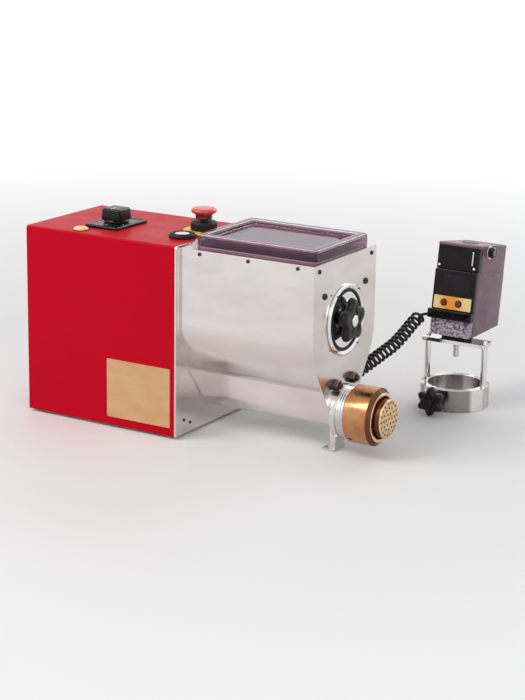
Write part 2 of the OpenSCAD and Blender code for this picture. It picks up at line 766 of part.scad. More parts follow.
// Dished flange on the tank's front that carries the mixer's front end
dish_edge = 5;
module bearing_flange() place() color("gainsboro") difference() {
    union() {
        turned_x(tip_x, 0, mixer_z, [[0, 0], [dish_r, 0], [dish_r, dish_edge], [dish_r - 3, dish_edge],
            [dish_r - 9, 2], [lobed_r * 0.7, 2], [lobed_r * 0.55, flange_t], [0, flange_t]]);
        rod_along_x(tip_x - sleeve_l, tip_x + 1, 0, mixer_z, sleeve_r);
    }
    rod_along_x(tip_x - sleeve_l - over, tip_x - 1.5, 0, mixer_z, journal_r + run_gap);
    rod_along_x(tip_x, tip_x + flange_t + over, 0, mixer_z, stud_r + run_gap);
}

plate_screw_y = 63;
plate_screw_z = 252;
module flange_screws() place() color([0.15, 0.13, 0.13]) {
    for (a = [52, 128, 232, 308])
        rod_along_x(tip_x + dish_edge, tip_x + dish_edge + 2, (dish_r - 1.5) * cos(a),
            mixer_z + (dish_r - 1.5) * sin(a), 1.4);
    for (s = [-1, 1])
        rod_along_x(tip_x, tip_x + 3, s * plate_screw_y, plate_screw_z, 5);
}

module lobed_outline(r, lobes) {
    circle(r * 0.72);
    for (i = [0 : lobes - 1]) rotate(90 + i * 360 / lobes) translate([r * 0.72, 0]) circle(r * 0.28);
}

module lobed_knob() place() color(black) {
    x0 = tip_x + flange_t + seat_gap;
    along_x(x0, knob_t) translate([0, mixer_z]) lobed_outline(lobed_r, 5);
    rod_along_x(x0 + knob_t - 1, x0 + knob_t + 3, 0, mixer_z, lobed_r * 0.4);
    rod_along_x(tip_x + 1, x0 + 1, 0, mixer_z, stud_r);
}

// ---------------------------------------------------------------- controls

module post(x, y, z0, z1, r) translate([x, y, z0]) cylinder(h = z1 - z0, r = r);

module switch_plate() place() color(black) difference() {
    union() {
        translate([switch_x, switch_y, casing_h]) linear_extrude(switch_plate_t)
            rounded_rect(switch_l, switch_w, 4);
        post(switch_x, switch_y, casing_h - switch_deep, casing_h + 1, shaft_r - slip_gap);
    }
    post(switch_x, switch_y, casing_h - 12, casing_h + switch_plate_t + over, stud_r + run_gap);
}

module switch_knob() place() color(black) {
    z0 = casing_h + switch_plate_t + seat_gap;
    post(switch_x, switch_y, z0, z0 + collar_h, grip_w / 2 + 2);
    translate([switch_x, switch_y, z0 + collar_h - 0.5]) linear_extrude(grip_h + 0.5)
        rounded_rect(grip_w, grip_w, 4);
    post(switch_x, switch_y, casing_h - 10, z0 + 1, stud_r);
}

module pilot_lamp() place() color("moccasin") {
    translate([lamp_x, lamp_y, casing_h]) rotate_extrude() intersection() {
        translate([0, 5 - lamp_r * 1.6]) circle(lamp_r * 1.6, $fn = 96);
        square([lamp_r, 20]);
    }
    post(lamp_x, lamp_y, casing_h - lamp_deep, casing_h + 1, lamp_stem_r);
}

module stop_disc() place() color("yellow") difference() {
    post(stop_x, stop_y, casing_h, casing_h + stop_disc_t, disc_r);
    post(stop_x, stop_y, casing_h - over, casing_h + stop_disc_t + over, stop_body_r + slip_gap);
    post(start_x, start_y, casing_h - over, casing_h + stop_disc_t + over, bezel_r + 0.5);
}

stop_z = casing_h + stop_disc_t;
module stop_base() place() color(black) difference() {
    union() {
        post(stop_x, stop_y, stop_z, stop_z + stop_base_h, stop_base_r);
        post(stop_x, stop_y, casing_h - stop_body_h, stop_z + 1, stop_body_r);
    }
    post(stop_x, stop_y, stop_z - stop_bore, stop_z + stop_base_h + over, stop_stem_r + run_gap);
}

stop_head_z = stop_z + stop_base_h + stop_travel + 0.5;
module stop_button() place() color("crimson") {
    h = stop_head_h;
    translate([stop_x, stop_y, stop_head_z]) rotate_extrude($fn = 72) polygon([[0, 0],
        [stop_neck_r, 0], [stop_neck_r, h * 0.23], [stop_r * 0.927, h * 0.517], [stop_r, h * 0.632],
        [stop_r * 0.976, h * 0.776], [stop_r * 0.854, h * 0.891], [stop_r * 0.5, h * 0.977], [0, h]]);
    post(stop_x, stop_y, stop_z - stop_bore + stop_travel + 1, stop_head_z + 1, stop_stem_r);
}

module start_bezel() place() color(black) difference() {
    union() {
        translate([start_x, start_y, casing_h]) rotate_extrude($fn = 72) polygon([[0, 0],
            [bezel_r, 0], [bezel_r, bezel_h - 3], [bezel_r - 3, bezel_h], [0, bezel_h]]);
        post(start_x, start_y, casing_h - start_body_h, casing_h + 1, start_body_r);
    }
    post(start_x, start_y, casing_h - button_deep, casing_h + bezel_h + over, start_r + slip_gap);
}

module start_button() place() color("white")
    post(start_x, start_y, casing_h - button_deep + start_travel + 0.3,
        casing_h + bezel_h - button_in, start_r);

// ---------------------------------------------------------------- cutter

module at_cutter() translate([cutter_x, cutter_y, 0]) children();
// The motor box's own frame: x across, y back from its front, z up along its lean
module in_box() translate([cutter_x + box_side, cutter_y + box_front, box_z])
    rotate([-box_tilt, 0, 0]) children();
// All that lies above a level height, which cuts the leaning box off flat
module above(z) translate([cutter_x - 2 * box_w, cutter_y - 2 * box_d, z])
    cube([4 * box_w, 4 * box_d, 2 * box_h]);

module clamp_ring() place() color("silver") at_cutter() difference() {
    cylinder(h = ring_h, r = ring_r, $fn = 96);
    translate([0, 0, -over]) cylinder(h = ring_h + 2 * over, r = ring_bore, $fn = 96);
    translate([0, 0, clamp_z]) rotate([90, 0, 0]) cylinder(h = ring_r + over, r = clamp_screw_r + run_gap);
}

module clamp_knob() place() color(black) at_cutter() translate([0, 0, clamp_z]) rotate([90, 0, 0]) {
    translate([0, 0, ring_bore + 1]) cylinder(h = ring_r - ring_bore + 2, r = clamp_screw_r);
    translate([0, 0, ring_r + seat_gap]) cylinder(h = boss_l, r = clamp_r * 0.45);
    translate([0, 0, ring_r + seat_gap + boss_l - 0.5]) linear_extrude(16) lobed_outline(clamp_r, 6);
    translate([0, 0, ring_r + boss_l + 15]) cylinder(h = 4, r = clamp_r * 0.4);
}

module guide_rods() place() color("silver") at_cutter()
    for (s = [-1, 1]) translate([s * rod_x, 0, ring_h]) cylinder(h = bar_z - ring_h, r = rod_r);

module bridge_bar() place() color("silver") at_cutter() difference() {
    translate([0, 0, bar_z]) linear_extrude(bar_t) rounded_rect(2 * (ring_r - 0.7), bar_d, 4);
    translate([0, 0, bar_z - over]) cylinder(h = bar_t + 2 * over, r = knife_r + 1);
}

box_deep = 20;      // how far the leaning outline runs down before the level cut
wrap = 8;           // how far the cover's top part reaches round the box's sides
lip_h = 5;          // the box's own edge over the cover
speed_z = box_h - speed_in;
module cutter_box() place() color([0.28, 0.2, 0.22]) difference() {
    union() {
        difference() {
            intersection() {
                in_box() translate([0, (cover_t + box_d) / 2, -box_deep]) linear_extrude(box_h + box_deep)
                    rounded_rect(box_w, box_d - cover_t, 2.5);
                above(box_low);
            }
            intersection() {
                in_box() translate([-box_w / 2 + box_t, -over, -box_deep])
                    cube([box_w - 2 * box_t, box_d - box_t + over, box_h + box_deep - box_t]);
                above(box_low + box_t);
            }
            in_box() translate([-box_w / 2 - over, -over, mid_z])
                cube([box_w + 2 * over, cover_t + wrap + over, box_h - lip_h - mid_z]);
        }
        in_box() translate([-box_w / 2, top_back / 2, box_h - lip_h])
            cube([box_w, cover_t + wrap - top_back / 2, lip_h]);
        at_cutter() translate([-neck_w / 2, -bar_d / 2 + neck_in, bar_z + bar_t])
            cube([neck_w, bar_d - 2 * neck_in, box_low - bar_z - bar_t + 1]);
        in_box() translate([-box_w / 2 + 1, gland_y, gland_z]) rotate([0, -90, 0])
            cylinder(h = 1 + gland_l, r = gland_r);
        in_box() translate([box_w / 2 - 1, speed_y, speed_z]) rotate([0, 90, 0])
            cylinder(h = 1 + speed_boss_t, r = speed_in);
    }
    in_box() translate([box_w / 2 - box_t - over, speed_y, speed_z]) rotate([0, 90, 0])
        cylinder(h = box_t + speed_boss_t + 2 * over, r = speed_stem_r + run_gap);
    at_cutter() translate([0, 0, bar_z + bar_t - over])
        cylinder(h = cutter_motor_h + 2, r = cutter_motor_r + slip_gap);
}

// Stepped front cover: a drawn-back top that reaches round the sides, a flat middle,
// a proud band and a rough foot
band_z0 = 23;
band_z1 = 38;
band_side = 4;
mid_z = 104;
top_back = 4;
module cutter_face() place() color(black) difference() {
    intersection() {
        in_box() {
            translate([-box_w / 2, 0, band_z1]) cube([box_w, cover_t, mid_z - band_z1]);
            translate([-box_w / 2, top_back, mid_z])
                cube([box_w, cover_t + wrap - top_back, box_h - lip_h - mid_z]);
            translate([-box_w / 2 - band_side, -band_out, band_z0])
                cube([box_w + band_side, cover_t + band_out, band_z1 - band_z0]);
            translate([-box_w / 2 + 1, 1.5, -box_deep]) cube([box_w - 2, cover_t - 1.5, band_z0 + box_deep]);
        }
        above(box_low);
    }
    in_box() for (s = [-1, 1]) translate([key_mid + s * key_x, -over, strip_z + strip_h / 2])
        rotate([-90, 0, 0]) cylinder(h = cover_t + 2 * over, r = key_r + slip_gap);
}

module button_strip() place() color("goldenrod") in_box() difference() {
    translate([-box_w / 2 + strip_in, -strip_t, strip_z]) cube([box_w - 2 * strip_in, strip_t, strip_h]);
    for (s = [-1, 1]) translate([key_mid + s * key_x, -strip_t - over, strip_z + strip_h / 2])
        rotate([-90, 0, 0]) cylinder(h = strip_t + 2 * over, r = key_r + slip_gap);
}

module key(s) in_box() translate([key_mid + s * key_x, -strip_t - key_out, strip_z + strip_h / 2])
    rotate([-90, 0, 0]) cylinder(h = strip_t + key_out + cover_t - key_travel - seat_gap, r = key_r);
module key_left() place() color("darkred") key(-1);
module key_right() place() color("darkred") key(1);

module speed_knob() place() color(black) in_box()
    translate([box_w / 2 + speed_boss_t + seat_gap, speed_y, speed_z]) rotate([0, 90, 0]) {
        cylinder(h = speed_h, r = speed_r);
        translate([0, 0, -box_t - 1]) cylinder(h = box_t + 2, r = speed_stem_r);
    }

module cutter_motor() place() color("gray") at_cutter() difference() {
    translate([0, 0, bar_z + bar_t]) cylinder(h = cutter_motor_h, r = cutter_motor_r);
    translate([0, 0, bar_z + bar_t - over]) cylinder(h = 26 + over, r = knife_r - 1 + run_gap);
}

// The free end under the bar is thicker than the part that runs up into the motor
module knife_shaft() place() color("silver") at_cutter() {
    translate([0, 0, knife_z]) cylinder(h = bar_z - 1 - knife_z, r = knife_r);
    translate([0, 0, knife_z + 1]) cylinder(h = bar_z + bar_t + 24 - knife_z, r = knife_r - 1);
}

// ---------------------------------------------------------------- cord

module cord_socket() place() color(black) {
    along_x(front_x, socket_t) translate([socket_y, socket_z]) rounded_rect(2 * socket_r, 2 * socket_r, 3);
}

plug_x0 = front_x + socket_t;
plug_x1 = plug_x0 + plug_l;
module cord_plug() place() color(black)
    turned_x(plug_x0, socket_y, socket_z, [[0, 0], [plug_r, 0], [plug_r, plug_l - 12],
        [plug_r - 2, plug_l - 10], [cord_d / 2 + 1.5, plug_l], [0, plug_l]]);

// The cord's middle line, by hand: from the plug, low behind the tank, up to the box
gland_end = [cutter_x + box_side - box_w / 2 - gland_l,
    cutter_y + box_front + gland_y * cos(box_tilt) + gland_z * sin(box_tilt),
    box_z - gland_y * sin(box_tilt) + gland_z * cos(box_tilt)];
plug_end = [plug_x1, socket_y, socket_z];
cord_points = [plug_end, plug_end + [9, 0.5, -0.5], [334, 90, 40], [352, 96, 36], [372, 100, 34],
    [396, 105, 35], [420, 114, 40], [442, 130, 58], [458, 152, 75], [469, 180, 88], [476, 208, 98],
    [482, 235, 107], [487, 262, 121], [490, 286, 134], gland_end + [-9, -7, -3], gland_end];

// A smooth curve through the points, sampled, with the length run so far
function curve(p0, p1, p2, p3, t) = 0.5 * (2 * p1 + (p2 - p0) * t
    + (2 * p0 - 5 * p1 + 4 * p2 - p3) * t * t + (3 * p1 - p0 - 3 * p2 + p3) * t * t * t);
per_span = 12;
last = len(cord_points) - 1;
route = [for (i = [0 : last - 1], k = [0 : per_span - 1])
    curve(cord_points[max(i - 1, 0)], cord_points[i], cord_points[i + 1],
        cord_points[min(i + 2, last)], k / per_span), cord_points[last]];
run = [for (i = 0, s = 0; i < len(route); s = s + (i + 1 < len(route) ? norm(route[i + 1] - route[i]) : 0),
    i = i + 1) s];
route_l = run[len(run) - 1];
function axis_table(k) = [for (i = [0 : len(route) - 1]) [run[i], route[i][k]]];
route_tx = axis_table(0);
route_ty = axis_table(1);
route_tz = axis_table(2);
function on_route(s) = [lookup(s, route_tx), lookup(s, route_ty), lookup(s, route_tz)];
function unit(v) = v / norm(v);

// The helix round that line. It opens from a straight end of one cord diameter by an arc,
// and its curls lie closer together at the plug than at the box
coil_r = (coil_d - cord_d) / 2;
tail = cord_d + 1;
open_l = 10;       // how far along the line a straight end opens into curls
open_turn = 115;   // the angle that it goes round the line meanwhile
open_lean = 80;    // how steep the arc ends
spread = 0.15;
rings_per_curl = 8;
end_rings = 2;
open_rings = 6;
turns = 360 * curls - 2 * open_turn;
main_rings = ceil(turns / 360 * rings_per_curl);
n_line = 2 * (end_rings + open_rings) + main_rings + 1;
coil_span = route_l - 2 * (tail + open_l);
// Each ring as its distance along the line, its angle round it and its radius
function end_ring(i) = i <= end_rings ? [tail * i / end_rings, 0, 0]
    : let (t = (i - end_rings) / open_rings)
        [tail + open_l * sin(open_lean * t) / sin(open_lean),
            open_turn * (1 - cos(open_lean * t)) / (1 - cos(open_lean)), coil_r * t * t * (2 - t * t)];
function far_ring(e) = [route_l - e[0], 360 * curls - e[1], e[2]];
function curl_ring(u) = [tail + open_l + coil_span * (u + spread * u * u) / (1 + spread),
    open_turn + turns * u, coil_r];
first = end_rings + open_rings;
coil = [for (i = [0 : n_line - 1]) i <= first ? end_ring(i)
    : i >= n_line - 1 - first ? far_ring(end_ring(n_line - 1 - i)) : curl_ring((i - first) / main_rings)];
function frame_out(s, a) = let (t = unit(on_route(min(s + 2, route_l)) - on_route(max(s - 2, 0))),
    side = unit(cross([0, 0, 1], t)), up = cross(t, side)) cos(a) * side + sin(a) * up;
cord_line = [for (g = coil) on_route(g[0]) + g[2] * frame_out(g[0], g[1])];
cord_sides = 6;
cord_rings = [for (i = [0 : n_line - 1])
    let (t = i == 0 ? [1, 0, 0] : i == n_line - 1 ? [1, 0, 0]
            : unit(cord_line[i + 1] - cord_line[i - 1]),
        o = frame_out(coil[i][0], coil[i][1]), n = unit(o - (o * t) * t), b = cross(t, n))
    for (k = [0 : cord_sides - 1])
        cord_line[i] + cord_d / 2 * (cos(k * 60) * n + sin(k * 60) * b)];
least_gap = min([for (i = [0 : n_line - 1])
    for (j = [i + 5 : 1 : min(i + 3 * rings_per_curl, n_line - 1)])
        norm(cord_line[i] - cord_line[j])]) - cord_d;
cord_steps = [for (i = [1 : n_line - 1]) norm(cord_line[i] - cord_line[i - 1])];
cord_length = cord_steps * [for (d = cord_steps) 1];
echo(route_length = route_l, cord_length = cord_length, least_gap = least_gap);

module curly_cord() place() color(black)
    polyhedron(points = cord_rings, faces = concat(
        [for (i = [0 : n_line - 2], k = [0 : cord_sides - 1], half = [0, 1])
            let (a = i * cord_sides + k, b = i * cord_sides + (k + 1) % cord_sides)
            half == 0 ? [a, a + cord_sides, b] : [b, a + cord_sides, b + cord_sides]],
        [for (k = [1 : cord_sides - 2]) [0, k, k + 1]],
        [for (k = [1 : cord_sides - 2]) let (o = (n_line - 1) * cord_sides) [o, o + k + 1, o + k]]));

casing_shell();
rear_panel();
front_panel();
base_plate();
feet();
data_plate();
rear_screws();
tank();
tank_rear_plate();
tank_front_plate();
tank_rim();
rim_screws();
hinge_bracket();
hinge_pin();
lid();
lid_leaf();
barrel();
support_leg();
barrel_bolts();
bearing_flange();
flange_screws();
lobed_knob();
mixer_shaft();
mixer_paddles();
mixer_gear();
auger();
auger_gear();
idler_gear();
drive_pinion();
drive_frame();
mixer_bush();
auger_bush();
gear_motor();
capacitor();
power_inlet();
die();
ring_nut();
switch_plate();
switch_knob();
pilot_lamp();
stop_disc();
stop_base();
stop_button();
start_bezel();
start_button();
cord_socket();
cord_plug();
curly_cord();
clamp_ring();
clamp_knob();
guide_rods();
bridge_bar();
cutter_box();
cutter_face();
button_strip();
key_left();
key_right();
speed_knob();
cutter_motor();
knife_shaft();
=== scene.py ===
"""Electric pasta maker on a pale table: painted casing, polished tank with a clear lid,
bronze nose, and a powered cutter on a curly cord. Blender's lengths are metres, in the CAD's
frame. Profiles and places are in millimetres until at(), lathe() or placed() turns them."""
import math

import bpy
import numpy as np
from mathutils import Matrix, Vector


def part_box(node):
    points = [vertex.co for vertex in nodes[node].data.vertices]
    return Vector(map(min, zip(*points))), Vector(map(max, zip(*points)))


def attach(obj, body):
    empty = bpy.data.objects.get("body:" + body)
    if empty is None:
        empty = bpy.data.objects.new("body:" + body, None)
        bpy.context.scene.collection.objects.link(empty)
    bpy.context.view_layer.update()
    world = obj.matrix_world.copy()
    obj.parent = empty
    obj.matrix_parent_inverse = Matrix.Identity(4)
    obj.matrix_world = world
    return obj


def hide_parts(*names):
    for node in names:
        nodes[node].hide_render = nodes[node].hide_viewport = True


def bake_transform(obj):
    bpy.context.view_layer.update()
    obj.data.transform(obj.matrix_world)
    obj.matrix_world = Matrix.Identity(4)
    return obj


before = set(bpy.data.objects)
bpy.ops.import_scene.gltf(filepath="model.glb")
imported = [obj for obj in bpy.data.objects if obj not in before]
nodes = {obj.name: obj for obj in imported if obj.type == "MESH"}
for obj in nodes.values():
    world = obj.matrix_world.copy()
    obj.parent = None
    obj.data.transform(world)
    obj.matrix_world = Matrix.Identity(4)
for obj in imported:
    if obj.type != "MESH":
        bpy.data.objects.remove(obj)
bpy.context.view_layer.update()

MM = 0.001
FORWARD, ACROSS, UP = (1, 0, 0), (0, 1, 0), (0, 0, 1)
REARWARD, SIDEWARD = (-1, 0, 0), (0, -1, 0)
MACHINE, CUTTER = "machine", "cutter"


def low(node):
    return np.array(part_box(node)[0])


def high(node):
    return np.array(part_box(node)[1])


def middle(node):
    return (low(node) + high(node)) / 2


# The machine's own corner: back of the casing, its middle line, the table
ORIGIN = np.array([low("casing_shell")[0], middle("casing_shell")[1], 0.0])


def at(x, y, z):
    """A place given in millimetres from the machine's own corner."""
    return ORIGIN + np.array([x, y, z]) * MM


def mm(place):
    """The other way round: a frame's place in millimetres from that corner, to a micron."""
    return np.round((place - ORIGIN) / MM, 3)


def extent(node):
    """A node's size in millimetres."""
    return mm(high(node)) - mm(low(node))


# Where the machine's faces and axes lie, and the middle line of the cutter beside it
CASING_TOP = mm(high("casing_shell"))[2]
CASING_FRONT = mm(high("front_panel"))[0]
TANK_FRONT, TANK_SIDE = mm(high("tank_rim"))[:2]
MIXER_Z = mm(middle("bearing_flange"))[2]
NOSE_Z = mm(middle("auger_gear"))[2]
NUT_FACE, DIE_FACE = mm(high("ring_nut"))[0], mm(high("die"))[0]
CUTTER_X, CUTTER_Y = mm(middle("bridge_bar"))[:2]

# The motor box leans back. Its own x is across, y back from its front and z up along it
TILT = math.radians(9)
BOX_Y = np.array([0, math.cos(TILT), -math.sin(TILT)])
BOX_Z = np.array([0, math.sin(TILT), math.cos(TILT)])
BOX_PLACE = np.array([CUTTER_X - 2, CUTTER_Y - 25, 123.0])
BOX_W, BOX_D, BOX_H = 74, 110, 148
# Its bottom is cut off level, this far above the table
BOX_LOW = 119

# The two keys' middle on the box's front, the window behind them, and the dial on its side
KEYS_X, KEYS_Z, KEY_APART = -2, 50.5, 13
KEY_WINDOW = 42, 12
DIAL_PLACE = BOX_W / 2, 42, 137


# ---- camera and light

CAMERA_PLACE = at(1855.3, -2473.7, 921.74)
CAMERA_YAW, CAMERA_PITCH, CAMERA_ROLL = 30.893, 15.266, 0.897
CAMERA_LENS, FILM_WIDTH = 99.507, 36
FAR_SIGHT = 60

# Each soft light's place, aim, size, power and tint
SOFTBOXES = {
    "key": ((-1.2, -1.6, 2.2), (0, 0, 0.15), (1.4, 1.1), 36, (1.0, 0.985, 0.97)),
    "fill": ((1.8, -1.6, 1.3), (0, 0, 0.15), (1.2, 1.2), 11, (1, 1, 1)),
    "back": ((0.4, 2.2, 1.8), (0, 0.1, 0.2), (1.6, 0.8), 14, (1, 1, 1)),
}
# Colour and strength of the room's light, and of the background that is seen
ROOM, BACKGROUND = ((0.9, 0.92, 0.95), 0.5), ((1, 1, 1), 1)


def set_camera():
    """Stands where the photograph was taken: yaw to the left of +Y, pitch down, slight roll."""
    yaw, pitch, roll = (math.radians(a) for a in (CAMERA_YAW, CAMERA_PITCH, CAMERA_ROLL))
    level = math.cos(pitch)
    ahead = Vector((-math.sin(yaw) * level, math.cos(yaw) * level, -math.sin(pitch)))
    right = ahead.cross(Vector(UP)).normalized()
    up = right.cross(ahead)
    right, up = (right * math.cos(roll) + up * math.sin(roll),
                 up * math.cos(roll) - right * math.sin(roll))
    data = bpy.data.cameras.new("camera")
    data.sensor_width = FILM_WIDTH
    data.lens = CAMERA_LENS
    data.clip_end = FAR_SIGHT
    camera = bpy.data.objects.new("camera", data)
    camera.matrix_world = Matrix((
        (right.x, up.x, -ahead.x, CAMERA_PLACE[0]),
        (right.y, up.y, -ahead.y, CAMERA_PLACE[1]),
        (right.z, up.z, -ahead.z, CAMERA_PLACE[2]), (0, 0, 0, 1)))
    bpy.context.scene.collection.objects.link(camera)
    bpy.context.scene.camera = camera


def softbox(name, place, aim, size, power, tint):
    data = bpy.data.lights.new(name, "AREA")
    data.shape = "RECTANGLE"
    data.size, data.size_y = size
    data.energy = power
    data.color = tint
    light = bpy.data.objects.new(name, data)
    light.location = Vector(place)
    light.rotation_euler = (Vector(aim) - Vector(place)).to_track_quat("-Z", "Y").to_euler()
    bpy.context.scene.collection.objects.link(light)


def background_rays(tree):
    """Is 1 for rays that show the background: from the camera, mirrored, or through the lid."""
    path = tree.nodes.new("ShaderNodeLightPath")
    seen = path.outputs["Is Camera Ray"]
    for kind in ("Is Glossy Ray", "Is Transmission Ray"):
        either = tree.nodes.new("ShaderNodeMath")
        either.operation = "MAXIMUM"
        tree.links.new(seen, either.inputs[0])
        tree.links.new(path.outputs[kind], either.inputs[1])
        seen = either.outputs[0]
    return seen


def set_light():
    """Three soft lights, and a grey room that is white where the background itself shows."""
    bpy.context.scene.view_settings.view_transform = "Standard"
    for name, facts in SOFTBOXES.items():
        softbox(name, *facts)
    world = bpy.data.worlds.new("room")
    bpy.context.scene.world = world
    world.use_nodes = True
    tree = world.node_tree
    tree.nodes.clear()
    out = tree.nodes.new("ShaderNodeOutputWorld")
    mix = tree.nodes.new("ShaderNodeMixShader")
    tree.links.new(background_rays(tree), mix.inputs[0])
    for socket, (colour, strength) in zip(mix.inputs[1:], (ROOM, BACKGROUND)):
        glow = tree.nodes.new("ShaderNodeBackground")
        glow.inputs["Color"].default_value = (*colour, 1)
        glow.inputs["Strength"].default_value = strength
        tree.links.new(glow.outputs[0], socket)
    tree.links.new(mix.outputs[0], out.inputs[0])


# ---- finishes

# The colour sockets of a Mix node, and the range in which a noise mostly stays
MIX_FIRST, MIX_SECOND, MIX_RESULT = 6, 7, 2
NOISE_LOW, NOISE_HIGH = 0.3, 0.7


class Finish:
    """A material with one principled shader and small helpers for its pattern nodes."""

    def __init__(self, name, colour, roughness, metallic=0.0, **sockets):
        self.made = bpy.data.materials.new(name)
        self.made.use_nodes = True
        self.tree = self.made.node_tree
        self.shader = self.tree.nodes["Principled BSDF"]
        self.colour = (*colour, 1)
        self.shader.inputs["Base Color"].default_value = self.colour
        self.shader.inputs["Roughness"].default_value = roughness
        self.shader.inputs["Metallic"].default_value = metallic
        for key, value in sockets.items():
            self.shader.inputs[key.replace("_", " ")].default_value = value
        self.height = None

    def node(self, kind, **settings):
        """A new node. A setting is one of the node's own, or else the value of a socket."""
        made = self.tree.nodes.new("ShaderNode" + kind)
        for key, value in settings.items():
            if hasattr(made, key):
                setattr(made, key, value)
            else:
                made.inputs[key.replace("_", " ")].default_value = value
        return made

    def link(self, a, b):
        self.tree.links.new(a, b)

    def places(self, stretch=(1, 1, 1)):
        """The object's own places, so that a pattern moves with its piece."""
        where = self.node("TexCoord")
        turned = self.node("Mapping", Scale=stretch)
        self.link(where.outputs["Object"], turned.inputs["Vector"])
        return turned.outputs["Vector"]

    def noise(self, scale, stretch=(1, 1, 1), detail=3, roughness=0.55):
        made = self.node("TexNoise", Scale=scale, Detail=detail, Roughness=roughness)
        self.link(self.places(stretch), made.inputs["Vector"])
        return made.outputs["Fac"]

    def apart(self, axis, plane):
        """How far a point lies from a plane across the X, Y or Z axis."""
        split = self.node("SeparateXYZ")
        self.link(self.node("TexCoord").outputs["Object"], split.inputs[0])
        less = self.node("Math", operation="SUBTRACT")
        self.link(split.outputs[axis], less.inputs[0])
        less.inputs[1].default_value = plane
        size = self.node("Math", operation="ABSOLUTE")
        self.link(less.outputs[0], size.inputs[0])
        return size.outputs[0]

    def ramp(self, value, low_end, high_end, low_value=0.0, high_value=1.0):
        made = self.node("MapRange")
        self.link(value, made.inputs["Value"])
        for key, number in (("From Min", low_end), ("From Max", high_end),
                            ("To Min", low_value), ("To Max", high_value)):
            made.inputs[key].default_value = number
        return made.outputs["Result"]

    def tint(self, amount, other):
        """Mixes the colour so far with another by a pattern."""
        made = self.node("Mix", data_type="RGBA")
        before = self.shader.inputs["Base Color"]
        if before.is_linked:
            self.link(before.links[0].from_socket, made.inputs[MIX_FIRST])
        else:
            made.inputs[MIX_FIRST].default_value = self.colour
        made.inputs[MIX_SECOND].default_value = (*other, 1)
        self.link(amount, made.inputs[0])
        self.link(made.outputs[MIX_RESULT], before)
        return self

    def vary_roughness(self, amount, least, most):
        self.link(self.ramp(amount, NOISE_LOW, NOISE_HIGH, least, most),
                  self.shader.inputs["Roughness"])
        return self

    def bump(self, height, depth, strength=1.0):
        made = self.node("Bump", Distance=depth, Strength=strength)
        self.link(height, made.inputs["Height"])
        if self.height is not None:
            self.link(self.height, made.inputs["Normal"])
        self.height = made.outputs["Normal"]
        self.link(self.height, self.shader.inputs["Normal"])
        return self


def red_paint():
    f = Finish("red_paint", (0.52, 0.001, 0.012), 0.36, Specular_IOR_Level=0.1,
               Coat_Weight=0.02, Coat_Roughness=0.2, Specular_Tint=(1, 0.3, 0.35, 1))
    f.tint(f.ramp(f.noise(5, detail=3), 0.35, 0.7), (0.57, 0.002, 0.016))
    f.vary_roughness(f.noise(34, detail=4), 0.34, 0.44)
    return f.bump(f.noise(900, detail=2), 0.00003, 0.35).made


def sheet_steel():
    """Polished sheet, drawn out upward by its rolling marks."""
    f = Finish("sheet_steel", (0.78, 0.72, 0.70), 0.15, 1.0, Anisotropic=0.5)
    f.tint(f.ramp(f.noise(9, (1, 1, 3), 4), 0.35, 0.75), (0.66, 0.60, 0.58))
    f.vary_roughness(f.noise(60, (1, 1, 14), 5), 0.10, 0.22)
    return f.bump(f.noise(420, (1, 1, 26), 2), 0.00004, 0.35).made


def turned_steel():
    f = Finish("turned_steel", (0.70, 0.68, 0.67), 0.2, 1.0, Anisotropic=0.4)
    f.tint(f.ramp(f.noise(40, detail=4), 0.4, 0.8), (0.56, 0.54, 0.53))
    f.vary_roughness(f.noise(150, detail=4), 0.14, 0.3)
    return f.bump(f.noise(1200, detail=2), 0.00003, 0.4).made


def ring_steel():
    """Turned and polished; faint light and dark bands painted down it stand in for reflections.
    """
    f = Finish("ring_steel", (0.86, 0.83, 0.82), 0.2, 1.0)
    # Painted reflection: pale and dark bands stretched up the ring
    f.tint(f.ramp(f.noise(24, (1, 1, 0.03), 2), 0.45, 0.55), (0.36, 0.31, 0.31))
    f.vary_roughness(f.noise(150, detail=4), 0.14, 0.3)
    return f.bump(f.noise(900, (1, 1, 8), 2), 0.00003, 0.4).made


def chrome():
    f = Finish("bright_chrome", (0.84, 0.83, 0.83), 0.06, 1.0)
    f.tint(f.ramp(f.noise(30, detail=3), 0.5, 0.85), (0.70, 0.69, 0.69))
    return f.vary_roughness(f.noise(110, detail=4), 0.03, 0.12).made


def nose_bronze():
    """Polished bronze, with painted shade on its chamfer and a painted highlight on the flat
    lip in front of that.
    """
    f = Finish("nose_bronze", (0.62, 0.31, 0.14), 0.2, 1.0)
    f.tint(f.ramp(f.noise(26, detail=5), 0.35, 0.75), (0.42, 0.18, 0.08))
    behind_lip = f.apart("X", at(NUT_FACE, 0, 0)[0])
    # Painted shade on the chamfer behind the lip
    f.tint(f.ramp(behind_lip, 0.0074, 0.0066), (0.15, 0.06, 0.03))
    # Painted highlight on the flat lip
    f.tint(f.ramp(behind_lip, 0.0009, 0.0004), (0.92, 0.70, 0.45))
    f.vary_roughness(f.noise(90, detail=5), 0.12, 0.32)
    return f.bump(f.noise(700, (30, 1, 1), 2), 0.00004, 0.4).made


def die_bronze():
    """Paler than the nut and finely speckled on its face, with painted shade on the side of its
    boss.
    """
    f = Finish("die_bronze", (0.86, 0.62, 0.34), 0.34, 1.0)
    f.tint(f.ramp(f.noise(380, detail=2), 0.52, 0.68), (0.46, 0.25, 0.11))
    behind_face = f.apart("X", at(DIE_FACE, 0, 0)[0])
    # Painted shade on the boss's side, behind its face
    f.tint(f.ramp(behind_face, 0.0012, 0.0022), (0.13, 0.05, 0.025))
    f.vary_roughness(f.noise(160, detail=4), 0.28, 0.44)
    return f.bump(f.noise(500, detail=3), 0.00008, 0.5).made


def cast_metal(name, colour, roughness=0.42):
    """A metal as cast or cut, with darker patches."""
    f = Finish(name, colour, roughness, 0.9)
    f.tint(f.ramp(f.noise(50, detail=4), 0.4, 0.8), tuple(c * 0.7 for c in colour))
    return f.bump(f.noise(500, detail=3), 0.0001, 0.5).made


